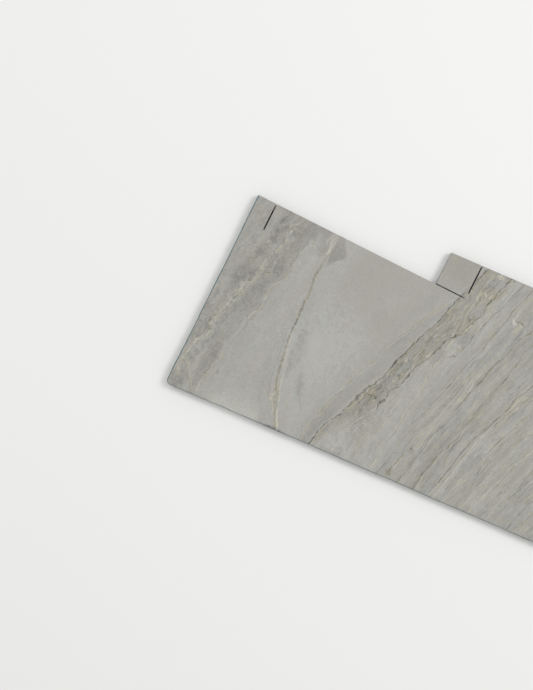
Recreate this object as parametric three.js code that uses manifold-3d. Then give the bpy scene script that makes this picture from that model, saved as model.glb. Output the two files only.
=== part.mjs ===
// Stone slab remnant: one piece of polished 3 cm stone, left over after worktop pieces were sawn out of a
// larger slab. It lies flat, polished face up. Millimetres, +X along the lower factory edge, +Y across
// the slab, +Z up, origin under the middle of the slab's box at its sawn-flat underside.
//
// The left and lower edges are the quarry block's own wire-sawn edges, a little wavy, with a worn and
// resin-soaked arris. Every other edge is a straight cut of a bridge saw. Apart from the tab's top edge, which
// follows the lower factory edge, those cuts are square to each other but turned a few degrees from it. Three
// overcuts of the same saw run into the slab past the corners of the pieces that were taken out.

import * as THREE from "three";
import { mergeVertices } from "three/addons/utils/BufferGeometryUtils.js";
import Module from "manifold-3d";

// The slab.
const THICKNESS = 30;
const LOWER_EDGE = 1524; // along the lower factory edge, corner to the sawn right end
const WIDTH = 840.5; // lower factory edge to the tab's sawn top edge
const SAW_TURN = THREE.MathUtils.degToRad(3.4); // the saw's square, clockwise from the lower factory edge
const LEFT_TURN = THREE.MathUtils.degToRad(3.05); // the left factory edge leans to the right by this much
const LEFT_EDGE = 757; // along the left factory edge, lower corner to upper corner

// The notch, left where a 25 1/2 inch deep worktop piece and its offcut were taken out.
const NOTCH_LENGTH = 715.6; // along the notch floor, upper left corner to the tab

// The saw and its overcuts. The blade was run in twice on the two cuts across the slab, so they are wider.
const BLADE_RADIUS = 200; // a 16 inch blade
const BLADE_FACETS = 48; // sides of the blade's quarter circle
const PLUNGE = 32; // how deep the blade cuts below the polished face
const CORNER_KERF = { along: 73.6, depth: 104, width: 5 }; // from the notch floor, near the upper left corner
const FLOOR_KERF = { depth: 115, width: 3.4 }; // goes on from the notch floor, under the tab
const TAB_KERF = { along: 120, depth: 112, width: 5 }; // from the tab's top edge, right of its left corner

// The worn arrises of the factory edges.
const ARRIS_WIDTH = 3.5;
const ARRIS_HEIGHT = 2.5;
const LOWER_ARRIS_WIDTH = 0.8;
const LOWER_ARRIS_HEIGHT = 3;
const CORNER_BREAK = 16; // the lower left corner is knocked off over this much of both edges
const CORNER_INSET = CORNER_BREAK / 3; // how far the broken corner's middle lies in from each edge

// The waves of the factory edges.
const RAW_STEP = 24; // spacing of the facets along a factory edge
const LEFT_BOW = 1; // the left edge is hollow by this much at its middle
const LOWER_BOW = 1.3; // the lower edge swings in and out by this much
const LOWER_BOW_LENGTH = 3200; // from swing to swing
const LOWER_BOW_CROSSING = 900; // how far along it goes from hollow to full
const RIPPLE = 0.5; // smaller waves
const LEFT_RIPPLE_LENGTH = 295;
const LOWER_RIPPLE_LENGTH = 333;
const ROUGHNESS = 0.7; // how far single facets stand in or out

const OVERSIZE = 60; // how far the raw slab runs past its saw cuts
const CLEARANCE = 180; // how far what is sawn away reaches past the slab

const wasm = await Module();
wasm.setup();

/** A closed BufferGeometry as a manifold solid. */
function solidFrom(geometry) {
  const bare = geometry.clone();
  bare.deleteAttribute("normal");
  bare.deleteAttribute("uv");
  const merged = mergeVertices(bare, 1e-4);
  return new wasm.Manifold(
    new wasm.Mesh({
      numProp: 3,
      vertProperties: merged.attributes.position.array,
      triVerts: new Uint32Array(merged.index.array),
    }),
  );
}

/** A manifold solid as a BufferGeometry with flat shading normals. */
function geometryFrom(solid) {
  const mesh = solid.getMesh();
  const geometry = new THREE.BufferGeometry();
  geometry.setAttribute("position", new THREE.BufferAttribute(mesh.vertProperties, 3));
  geometry.setIndex(new THREE.BufferAttribute(mesh.triVerts, 1));
  const flat = geometry.toNonIndexed();
  flat.computeVertexNormals();
  return flat;
}

// Directions of the saw's two cuts and of the left factory edge in the slab's plane.
const sawAlong = new THREE.Vector2(Math.cos(SAW_TURN), -Math.sin(SAW_TURN));
const sawAcross = new THREE.Vector2(Math.sin(SAW_TURN), Math.cos(SAW_TURN));
const leftUp = new THREE.Vector2(Math.sin(LEFT_TURN), Math.cos(LEFT_TURN));

/** The point reached from a start by going so far along and so far across the saw's square. */
function sawn(start, along, across) {
  return start.clone().addScaledVector(sawAlong, along).addScaledVector(sawAcross, across);
}

// Corners in the slab's plane, from the lower left corner of the factory edges.
const upperLeft = leftUp.clone().multiplyScalar(LEFT_EDGE);
const tabFoot = sawn(upperLeft, NOTCH_LENGTH, 0);
const tabCorner = sawn(tabFoot, 0, (WIDTH - tabFoot.y) / sawAcross.y);
const lowerRight = new THREE.Vector2(LOWER_EDGE, 0);

/** A repeatable value from -1 to 1 for a whole number and a level. */
function scatter(index, level) {
  const wave = Math.sin(index * 12.9898 + level * 78.233) * 43758.5453;
  return 2 * (wave - Math.floor(wave)) - 1;
}

/** Points of the two factory edges, each with the direction that it faces and how far it stands out there,
 *  from the top left round to the lower right, and past both saw cuts. */
function factoryEdges() {
  const points = [];
  const leftOut = new THREE.Vector2(-leftUp.y, leftUp.x);
  const lowerOut = new THREE.Vector2(0, -1);
  const leftLength = LEFT_EDGE + OVERSIZE - CORNER_BREAK;
  const leftSteps = Math.round(leftLength / RAW_STEP);
  for (let i = 0; i <= leftSteps; i++) {
    const across = LEFT_EDGE + OVERSIZE - (leftLength * i) / leftSteps;
    const bow = -LEFT_BOW * Math.sin((Math.PI * across) / LEFT_EDGE);
    const stands = bow + RIPPLE * Math.sin((2 * Math.PI * across) / LEFT_RIPPLE_LENGTH);
    points.push({ at: leftUp.clone().multiplyScalar(across), out: leftOut, stands });
  }
  const cornerOut = new THREE.Vector2(-1, -1).normalize();
  const corner = new THREE.Vector2(CORNER_INSET, CORNER_INSET);
  points.push({ at: corner, out: cornerOut, stands: 0 });
  const lowerLength = LOWER_EDGE + OVERSIZE - CORNER_BREAK;
  const lowerSteps = Math.round(lowerLength / RAW_STEP);
  for (let i = 0; i <= lowerSteps; i++) {
    const along = CORNER_BREAK + (lowerLength * i) / lowerSteps;
    const bow = LOWER_BOW * Math.sin((2 * Math.PI * (along - LOWER_BOW_CROSSING)) / LOWER_BOW_LENGTH);
    const stands = bow + RIPPLE * Math.sin((2 * Math.PI * along) / LOWER_RIPPLE_LENGTH);
    points.push({ at: new THREE.Vector2(along, 0), out: lowerOut, stands });
  }
  return points;
}

/** The slab as it came from the block: rings of its outline at each level, joined and capped. */
function rawSlab() {
  const levels = [
    { z: 0, inset: LOWER_ARRIS_WIDTH },
    { z: LOWER_ARRIS_HEIGHT, inset: 0 },
    { z: THICKNESS / 2, inset: 0 },
    { z: THICKNESS - ARRIS_HEIGHT, inset: 0 },
    { z: THICKNESS, inset: ARRIS_WIDTH },
  ];
  const edges = factoryEdges();
  const far = new THREE.Vector2(LOWER_EDGE + 2 * OVERSIZE, WIDTH + OVERSIZE);
  const rings = levels.map(({ z, inset }, level) => {
    const ring = edges.map(({ at, out, stands }, i) =>
      at.clone().addScaledVector(out, stands + ROUGHNESS * scatter(i, level) - inset),
    );
    ring.push(new THREE.Vector2(far.x, ring[ring.length - 1].y), far.clone());
    ring.push(new THREE.Vector2(ring[0].x, far.y));
    return { z, ring };
  });
  const count = rings[0].ring.length;
  const positions = rings.flatMap(({ z, ring }) => ring.flatMap((p) => [p.x, p.y, z]));
  const index = [];
  for (let level = 0; level + 1 < rings.length; level++) {
    for (let i = 0; i < count; i++) {
      const a = level * count + i;
      const b = level * count + ((i + 1) % count);
      index.push(a, b, b + count, a, b + count, a + count);
    }
  }
  const top = (rings.length - 1) * count;
  for (const [a, b, c] of THREE.ShapeUtils.triangulateShape(rings[rings.length - 1].ring, [])) {
    index.push(top + a, top + b, top + c);
  }
  for (const [a, b, c] of THREE.ShapeUtils.triangulateShape(rings[0].ring, [])) {
    index.push(a, c, b);
  }
  const geometry = new THREE.BufferGeometry();
  geometry.setAttribute("position", new THREE.Float32BufferAttribute(positions, 3));
  geometry.setIndex(index);
  return solidFrom(geometry);
}

/** A piece sawn out of the slab: a prism over corners in the slab's plane, right through it. */
function sawnOut(corners) {
  const geometry = new THREE.ExtrudeGeometry(new THREE.Shape(corners), {
    depth: THICKNESS + 2 * OVERSIZE,
    bevelEnabled: false,
  });
  geometry.translate(0, 0, -OVERSIZE);
  return solidFrom(geometry);
}

/** The saw's overcut from a mouth, heading into the slab: full depth behind the blade's centre, and the
 *  blade's own arc rising to the polished face ahead of it. */
function overcut(mouth, heading, { depth, width }) {
  const reach = Math.sqrt(BLADE_RADIUS ** 2 - (BLADE_RADIUS - PLUNGE) ** 2);
  const centre = new THREE.Vector2(depth - reach, THICKNESS + BLADE_RADIUS - PLUNGE);
  const profile = new THREE.Shape();
  profile.moveTo(centre.x - OVERSIZE - BLADE_RADIUS, centre.y - BLADE_RADIUS);
  profile.lineTo(centre.x, centre.y - BLADE_RADIUS);
  profile.absarc(centre.x, centre.y, BLADE_RADIUS, -Math.PI / 2, 0, false);
  profile.lineTo(centre.x - OVERSIZE - BLADE_RADIUS, centre.y);
  const geometry = new THREE.ExtrudeGeometry(profile, {
    depth: width,
    bevelEnabled: false,
    curveSegments: BLADE_FACETS,
  });
  geometry.translate(0, 0, -width / 2);
  geometry.rotateX(Math.PI / 2);
  geometry.rotateZ(heading.angle());
  geometry.translate(mouth.x, mouth.y, 0);
  return solidFrom(geometry);
}

/** The slab with everything sawn away that the remnant has lost. */
function remnant() {
  const notch = [
    upperLeft.clone().addScaledVector(sawAlong, -CLEARANCE),
    tabFoot,
    sawn(tabFoot, 0, CLEARANCE),
    sawn(upperLeft, -CLEARANCE, CLEARANCE + WIDTH),
  ];
  const strip = [
    new THREE.Vector2(-CLEARANCE, WIDTH),
    new THREE.Vector2(LOWER_EDGE + CLEARANCE, WIDTH),
    new THREE.Vector2(LOWER_EDGE + CLEARANCE, WIDTH + CLEARANCE),
    new THREE.Vector2(-CLEARANCE, WIDTH + CLEARANCE),
  ];
  const rightEnd = [
    sawn(lowerRight, 0, -CLEARANCE),
    sawn(lowerRight, CLEARANCE, -CLEARANCE),
    sawn(lowerRight, CLEARANCE, WIDTH + CLEARANCE),
    sawn(lowerRight, 0, WIDTH + CLEARANCE),
  ];
  const inward = sawAcross.clone().negate();
  const overcuts = [
    overcut(sawn(upperLeft, CORNER_KERF.along, 0), inward, CORNER_KERF),
    overcut(sawn(tabFoot, 0, FLOOR_KERF.width / 2), sawAlong, FLOOR_KERF),
    overcut(new THREE.Vector2(tabCorner.x + TAB_KERF.along, WIDTH), inward, TAB_KERF),
  ];
  return [notch, strip, rightEnd]
    .map(sawnOut)
    .concat(overcuts)
    .reduce((slab, cut) => slab.subtract(cut), rawSlab());
}

const stone = new THREE.MeshStandardMaterial({
  color: 0xa3a19a,
  roughness: 0.18,
  metalness: 0,
});

const slab = new THREE.Mesh(geometryFrom(remnant()), stone);
slab.name = "slab";

// The origin goes under the middle of the slab's box.
slab.geometry.computeBoundingBox();
const box = slab.geometry.boundingBox;
slab.position.set(-(box.min.x + box.max.x) / 2, -(box.min.y + box.max.y) / 2, 0);

const group = new THREE.Group();
group.add(slab);

export default group;
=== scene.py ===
"""Stone slab remnant, dressed.

One slab of grey banded quartzite, 30 mm thick, polished on top, with gold, brown and near-black veins.
Worktop pieces have been sawn out of it. That left a long notch, three saw kerfs that run past its corners,
two factory edges with a resin-soaked arris, and sawn walls everywhere else. It lies flat on a pale studio
floor and is looked at from straight above.
"""
import logging
import math
from collections.abc import Callable, Iterable, Iterator
from dataclasses import dataclass, field
from enum import Enum

import bpy
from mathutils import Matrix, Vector, noise


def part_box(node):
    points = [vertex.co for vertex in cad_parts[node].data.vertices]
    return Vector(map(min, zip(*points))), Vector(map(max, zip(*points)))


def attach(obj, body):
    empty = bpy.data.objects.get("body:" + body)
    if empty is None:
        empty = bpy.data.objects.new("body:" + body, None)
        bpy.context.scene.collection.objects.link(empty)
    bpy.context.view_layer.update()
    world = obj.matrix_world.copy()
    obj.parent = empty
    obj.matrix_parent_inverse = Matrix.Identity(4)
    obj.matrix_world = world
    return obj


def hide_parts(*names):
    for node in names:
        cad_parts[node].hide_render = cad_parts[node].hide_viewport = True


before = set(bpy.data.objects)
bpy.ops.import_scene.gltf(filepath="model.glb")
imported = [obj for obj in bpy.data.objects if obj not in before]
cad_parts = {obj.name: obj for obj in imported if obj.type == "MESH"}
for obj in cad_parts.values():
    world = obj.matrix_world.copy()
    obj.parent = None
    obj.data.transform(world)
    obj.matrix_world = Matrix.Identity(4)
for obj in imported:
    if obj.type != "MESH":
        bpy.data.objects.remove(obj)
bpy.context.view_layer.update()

log = logging.getLogger("stone_slab_remnant")
logging.basicConfig(level=logging.INFO, format="%(name)s: %(message)s")

MM = 0.001
SPAN = 1600.0  # the length in mm that the vein routes are drawn on, both ways

# Sockets of Blender's Mix node when it mixes colours.
MIX_FACTOR, MIX_A, MIX_B, MIX_RESULT = 0, 6, 7, 2

# Settings of a Map Range node that fades softly. It stays in its range by itself, and a clamp would be one
# more node for Cycles, which then runs out of room for the outputs that wait.
SMOOTH = {"interpolation_type": "SMOOTHSTEP", "clamp": False}

Tree, Node, Socket = bpy.types.NodeTree, bpy.types.Node, bpy.types.NodeSocket
Pair = tuple[float, float]
Triple = tuple[float, float, float]
Colour = Socket | tuple[float, float, float, float]

# Nearly all of a noise's values lie between these.
SPREAD = (0.3, 0.7)


def linear(code: str) -> tuple[float, float, float, float]:
    """Turns an sRGB hex colour into the linear colour that shader sockets take.

    Args:
        code: Six hex digits after a hash, such as "#a3a19a".

    Returns:
        Red, green, blue and an alpha of 1.
    """
    channels = [int(code[i:i + 2], 16) / 255 for i in (1, 3, 5)]
    red, green, blue = [c / 12.92 if c <= 0.04045 else ((c + 0.055) / 1.055) ** 2.4 for c in channels]
    return red, green, blue, 1.0


def fill(tree: Tree, node: Node, inputs: dict | list) -> None:
    """Fills or links a node's inputs.

    Args:
        tree: The node tree that the node is in.
        node: The node.
        inputs: What goes into each input, by its name or number, or in order: a value, the output that it is
            linked to, or the node whose first output that is.
    """
    for socket, value in enumerate(inputs) if isinstance(inputs, list) else inputs.items():
        if isinstance(value, Node):
            value = value.outputs[0]
        if isinstance(value, Socket):
            tree.links.new(value, node.inputs[socket])
        else:
            node.inputs[socket].default_value = value


def add_node(tree: Tree, kind: str, inputs: dict | list | None = None, **settings: object) -> Node:
    """Adds a shader node, sets its options, and fills or links its inputs.

    Args:
        tree: The node tree that takes the node.
        kind: Blender's type name of the node, after ShaderNode.
        inputs: What goes into its inputs, as in fill.
        **settings: Options of the node.

    Returns:
        The new node.
    """
    node = tree.nodes.new("ShaderNode" + kind)
    for option, value in settings.items():
        setattr(node, option, value)
    fill(tree, node, inputs or [])
    return node


def draw_curve(node: Node, points: list[Pair]) -> None:
    """Draws a smooth line through points in a Float Curve node.

    Args:
        node: The Float Curve node.
        points: Where the line goes, each value from 0 to 1, in order of the first.
    """
    curve = node.mapping.curves[0]
    curve.points[0].location = points[0]
    curve.points[-1].location = points[-1]
    for point in points[1:-1]:
        curve.points.new(*point)
    for point in curve.points:
        point.handle_type = "AUTO_CLAMPED"
    node.mapping.update()


class Tint(Enum):
    """Colours that the stone's veins have, each with the one that it drifts to along a vein."""

    GOLD = ("#aca185", "#8f8871")
    BROWN = ("#77725f", "#625f51")
    DARK = ("#4b493e", "#646253")
    SMOKE = ("#858580", "#7a7a75")
    PALE = ("#c3bfae", "#b2ac98")
    WHITE = ("#cac9c0", "#bdbaac")

    @property
    def usual(self) -> str:
        """Gives the colour that it mostly has."""
        return self.value[0]

    @property
    def other(self) -> str:
        """Gives the colour that it drifts to."""
        return self.value[1]


@dataclass(frozen=True)
class Habit:
    """How a vein comes and goes along its length.

    Args:
        gaps: Size of its gaps in mm, along and up.
        closing: The values of noise between which it goes from faint to whole.
        faint: How much of it is left in a gap.
        knots: Size in mm of the places where it swells.
        narrow: Its least width, as a share of the usual.
        wide: Its greatest width, as a share of the usual.
    """

    gaps: Pair
    closing: Pair
    faint: float
    knots: Pair
    narrow: float
    wide: float


class Line(Enum):
    """The habits that veins have in this stone."""

    STEADY = Habit((14, 24), (0.34, 0.56), 0.40, (22, 34), 0.60, 1.45)
    KNOTTED = Habit((9, 16), (0.36, 0.54), 0.45, (11, 17), 0.45, 1.85)
    BROKEN = Habit((8, 13), (0.42, 0.55), 0.10, (10, 15), 0.50, 1.50)
    RAGGED = Habit((7, 12), (0.47, 0.60), 0.00, (9, 13), 0.50, 1.60)


class Run(Enum):
    """Which way a vein runs on the slab."""

    UP = "its route gives a place along the slab for each height across it"
    ALONG = "its route gives a height for each place along the slab"


@dataclass(frozen=True)
class Place:
    """Outputs that say where a point lies in the stone, shared by everything that is drawn there.

    Args:
        along: Distance from the left along the slab, as a share of SPAN.
        up: Distance from the lower edge, as a share of SPAN.
        whole: For each habit, how much of a vein is there.
        width: For each habit, how wide a vein is there, as a share of the usual.
    """

    along: Socket
    up: Socket
    whole: dict[Line, Socket]
    width: dict[Line, Socket]


@dataclass(frozen=True)
class Vein:
    """One vein through the slab.

    Args:
        name: What the vein is called in the node tree.
        tint: Its colour.
        width: Half its width in mm, out to where it has faded.
        course: Points of its route in mm with its strength there in tenths: (height, place along, strength)
            for a vein that runs up, (place along, height, strength) for one that runs along.
        run: Which way it runs.
        line: How it comes and goes.
    """

    name: str
    tint: Tint
    width: float
    course: tuple[Triple, ...]
    run: Run = Run.UP
    line: Line = Line.STEADY

    def route(self, tree: Tree, place: Place) -> Socket:
        """Draws the vein's route.

        Args:
            tree: The node tree of the stone.
            place: Where a point lies.

        Returns:
            The output that gives the route's other coordinate, as a share of SPAN.
        """
        start = place.up if self.run is Run.UP else place.along
        node = add_node(tree, "FloatCurve", {"Value": start}, label=self.name)
        draw_curve(node, [(a / SPAN, b / SPAN) for a, b, _ in self.course])
        return node.outputs[0]

    def mask(self, tree: Tree, place: Place) -> Socket:
        """Works out how much of the vein there is at a point.

        Args:
            tree: The node tree of the stone.
            place: Where a point lies.

        Returns:
            The output that goes from 0 off the vein to its strength in its middle.
        """
        start, other = (place.up, place.along) if self.run is Run.UP else (place.along, place.up)
        strength = add_node(tree, "FloatCurve", {"Value": start})
        draw_curve(strength, [(a / SPAN, tenths / 10) for a, _, tenths in self.course])
        off = add_node(tree, "Math", [other, self.route(tree, place)], operation="SUBTRACT")
        off = add_node(tree, "Math", [off], operation="ABSOLUTE")
        reach = add_node(tree, "Math", [place.width[self.line], self.width / SPAN], operation="MULTIPLY")
        core = add_node(tree, "MapRange", [off, 0.0, reach, strength, 0.0], **SMOOTH)
        part = add_node(tree, "Math", [core, place.whole[self.line]], operation="MULTIPLY")
        return part.outputs[0]


@dataclass(frozen=True)
class Bank:
    """A field of smoke or shade in the stone, between two lines.

    Args:
        name: What the bank is called in the node tree.
        colour: Its colour as sRGB hex.
        course: Points in mm up the slab: (height, left side, right side, strength).
        fades: Over how many mm it fades in at its left side and out at its right side.
    """

    name: str
    colour: str
    course: tuple[tuple[float, float, float, float], ...]
    fades: Pair = (8.0, 8.0)

    def mask(self, tree: Tree, place: Place) -> Socket:
        """Works out how much of the bank there is at a point.

        Args:
            tree: The node tree of the stone.
            place: Where a point lies.

        Returns:
            The output that goes from 0 outside the bank to its strength inside.
        """
        lines = []
        for column in (1, 2, 3):
            line = add_node(tree, "FloatCurve", {"Value": place.up}, label=self.name)
            unit = 1.0 if column == 3 else SPAN
            draw_curve(line, [(point[0] / SPAN, point[column] / unit) for point in self.course])
            lines.append(line.outputs[0])
        left, right, total = lines
        for side, sign, fade in ((left, 1, self.fades[0]), (right, -1, self.fades[1])):
            inside = add_node(tree, "Math", [place.along, side], operation="SUBTRACT")
            share = add_node(tree, "MapRange", [inside, 0.0, sign * fade / SPAN, 0.0, total], **SMOOTH)
            total = share.outputs[0]
        return total


@dataclass(frozen=True)
class Patch:
    """A cloud or a spot of lighter, darker or stained stone, with a ragged edge.

    Args:
        name: What the patch is called in the node tree.
        colour: Its colour as sRGB hex.
        middle: Its middle on the slab in mm, along and up.
        reach: How far it goes from its middle in mm, along and up before it is turned.
        lean: How far it leans to the right, in degrees.
        strength: How strong it is in its middle, from 0 to 1.
        edge: The share of its reach over which it fades.
    """

    name: str
    colour: str
    middle: Pair
    reach: Pair
    lean: float
    strength: float
    edge: float = 0.7

    def mask(self, tree: Tree, spot: Socket, ragged: Socket) -> Socket:
        """Works out how much of the patch there is at a point.

        Args:
            tree: The node tree of the stone.
            spot: Output with the point's place in mm.
            ragged: Output that pushes the patch's edge out and in, as a share of its reach.

        Returns:
            The output that goes from 0 off the patch to its strength in its middle.
        """
        turned = add_node(tree, "Mapping",
                          {"Vector": spot, "Location": (*self.middle, 0.0),
                           "Rotation": (0.0, 0.0, -math.radians(self.lean)),
                           "Scale": (*self.reach, 1.0e6)}, vector_type="TEXTURE", label=self.name)
        far = add_node(tree, "VectorMath", [turned], operation="LENGTH")
        far = add_node(tree, "Math", [far.outputs["Value"], ragged], operation="ADD")
        fade = add_node(tree, "MapRange", [far, 1.0 - self.edge, 1.0, self.strength, 0.0], **SMOOTH)
        return fade.outputs[0]


# The nine long veins that part the slab into beds, from left to right. Everything finer follows the beds.
LEFT_SQUIGGLE = Vein("left squiggle", Tint.PALE, 4.6, (
    (0, 20, 1), (60, 22, 3), (130, 27, 6), (165, 40, 7), (195, 47, 6), (215, 66, 6), (240, 73, 7),
    (268, 66, 8), (290, 75, 5), (320, 83, 5), (345, 92, 7), (380, 103, 7), (400, 108, 8), (415, 119, 8),
    (430, 113, 7), (445, 125, 8), (465, 141, 9), (480, 150, 9), (500, 148, 8), (520, 152, 8), (550, 159, 7),
    (575, 168, 9), (595, 181, 10), (625, 191, 10), (650, 198, 8), (680, 201, 7), (705, 208, 6),
    (735, 222, 5), (840, 250, 3)), line=Line.KNOTTED)
SECOND_LEFT = Vein("second left vein", Tint.PALE, 3.5, (
    (0, 112, 3), (35, 114, 6), (65, 118, 4), (90, 121, 4), (108, 132, 7), (132, 131, 7), (148, 144, 8),
    (175, 149, 7), (190, 141, 6), (215, 145, 7), (240, 153, 8), (262, 163, 9), (285, 168, 9), (312, 172, 8),
    (335, 180, 8), (360, 191, 9), (376, 205, 9), (400, 209, 8), (440, 212, 8), (470, 216, 9), (485, 225, 9),
    (500, 236, 8), (515, 250, 7), (535, 254, 4), (600, 262, 4), (630, 270, 5), (655, 279, 6), (700, 292, 2),
    (840, 325, 1)))
MAIN_VEIN = Vein("main vein", Tint.GOLD, 4.2, (
    (0, 433, 8), (20, 425, 9), (45, 412, 8), (70, 403, 7), (95, 396, 6), (115, 387, 6), (135, 379, 7),
    (155, 371, 6), (180, 364, 6), (205, 360, 7), (230, 356, 6), (255, 353, 7), (285, 350, 7), (310, 347, 6),
    (340, 345, 6), (370, 346, 5), (400, 347, 5), (440, 346, 5), (470, 345, 5), (495, 350, 6), (510, 350, 6),
    (535, 346, 6), (560, 344, 5), (585, 346, 6), (605, 350, 5), (630, 353, 6), (655, 359, 6), (680, 366, 7),
    (700, 369, 7), (735, 371, 5), (840, 375, 5)), line=Line.KNOTTED)
GOLD_HAIRLINE = Vein("gold hairline", Tint.GOLD, 2.8, (
    (0, 521, 5), (25, 527, 7), (55, 533, 7), (80, 540, 7), (105, 550, 7), (135, 556, 8), (160, 563, 9),
    (180, 570, 9), (200, 578, 9), (212, 590, 10), (230, 600, 10), (258, 608, 9), (295, 621, 10),
    (335, 637, 9), (352, 645, 9), (367, 652, 9), (375, 663, 9), (405, 668, 8), (425, 675, 9), (445, 685, 9),
    (468, 697, 8), (505, 720, 9), (528, 735, 9), (550, 747, 10), (575, 760, 9), (597, 775, 8), (630, 798, 7),
    (648, 808, 8), (675, 820, 7), (705, 832, 5), (740, 846, 2), (840, 888, 1)))
DARK_VEIN = Vein("dark vein", Tint.DARK, 3.2, (
    (0, 561, 10), (30, 569, 10), (60, 575, 8), (85, 583, 8), (115, 600, 9), (140, 619, 10), (170, 631, 9),
    (200, 646, 9), (225, 655, 10), (250, 663, 9), (270, 672, 10), (283, 684, 10), (292, 694, 10),
    (310, 697, 10), (330, 712, 9), (350, 717, 10), (380, 727, 10), (400, 731, 10), (410, 735, 10),
    (430, 745, 8), (450, 754, 10), (480, 765, 9), (505, 775, 10), (530, 786, 9), (555, 798, 8),
    (570, 806, 10), (600, 819, 8), (625, 826, 10), (650, 833, 10), (675, 842, 9), (700, 851, 8),
    (715, 857, 7), (735, 863, 4), (760, 875, 3), (785, 886, 7), (810, 895, 9), (840, 908, 8)),
    line=Line.KNOTTED)
PALE_BED_EDGE = Vein("pale bed's edge", Tint.PALE, 4.3, (
    (0, 797, 9), (30, 803, 9), (60, 808, 8), (110, 812, 6), (140, 820, 6), (170, 826, 8), (205, 830, 9),
    (235, 833, 8), (265, 838, 8), (290, 843, 9), (320, 850, 9), (350, 855, 10), (380, 858, 9), (410, 862, 8),
    (440, 868, 8), (480, 880, 7), (500, 882, 7), (525, 886, 8), (545, 890, 8), (570, 897, 5), (600, 900, 4),
    (640, 903, 7), (660, 901, 6), (700, 908, 5), (740, 913, 6), (770, 919, 6), (800, 928, 7),
    (840, 937, 6)))
OLIVE_HAIRLINE = Vein("olive hairline", Tint.BROWN, 2.3, (
    (0, 822, 0), (200, 868, 0), (215, 872, 7), (235, 882, 8), (260, 893, 7), (285, 905, 9), (310, 912, 9),
    (330, 920, 8), (360, 932, 8), (385, 940, 8), (410, 948, 9), (435, 955, 9), (460, 962, 7), (490, 972, 8),
    (515, 982, 7), (540, 993, 7), (560, 1003, 9), (580, 1006, 10), (600, 1010, 10), (625, 1018, 9),
    (655, 1028, 9), (685, 1038, 9), (705, 1045, 8), (725, 1047, 9), (745, 1053, 9), (770, 1062, 10),
    (795, 1072, 9), (840, 1088, 9)))
RIGHT_DARK_VEIN = Vein("right dark vein", Tint.BROWN, 3.0, (
    (0, 1024, 5), (35, 1035, 7), (60, 1045, 8), (85, 1050, 10), (105, 1058, 8), (130, 1065, 9),
    (155, 1070, 9), (180, 1075, 10), (205, 1083, 9), (230, 1092, 9), (255, 1100, 9), (275, 1110, 9),
    (295, 1120, 10), (318, 1133, 10), (345, 1143, 9), (365, 1155, 10), (380, 1160, 6), (395, 1168, 8),
    (415, 1175, 9), (435, 1178, 9), (455, 1185, 9), (470, 1195, 7), (485, 1205, 8), (515, 1220, 9),
    (600, 1252, 7), (700, 1290, 8), (840, 1345, 6)))
FAR_GOLD = Vein("far gold vein", Tint.GOLD, 3.0, (
    (0, 1318, 5), (25, 1328, 7), (45, 1338, 8), (65, 1345, 9), (85, 1352, 8), (110, 1360, 9), (145, 1378, 9),
    (300, 1432, 7), (500, 1500, 8), (840, 1590, 6)))

# Each guide with the bed coordinate in mm that it stands for.
GUIDES = ((LEFT_SQUIGGLE, 100.0), (SECOND_LEFT, 190.0), (MAIN_VEIN, 370.0), (GOLD_HAIRLINE, 620.0),
          (DARK_VEIN, 690.0), (PALE_BED_EDGE, 860.0), (OLIVE_HAIRLINE, 930.0), (RIGHT_DARK_VEIN, 1130.0),
          (FAR_GOLD, 1380.0))

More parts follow.
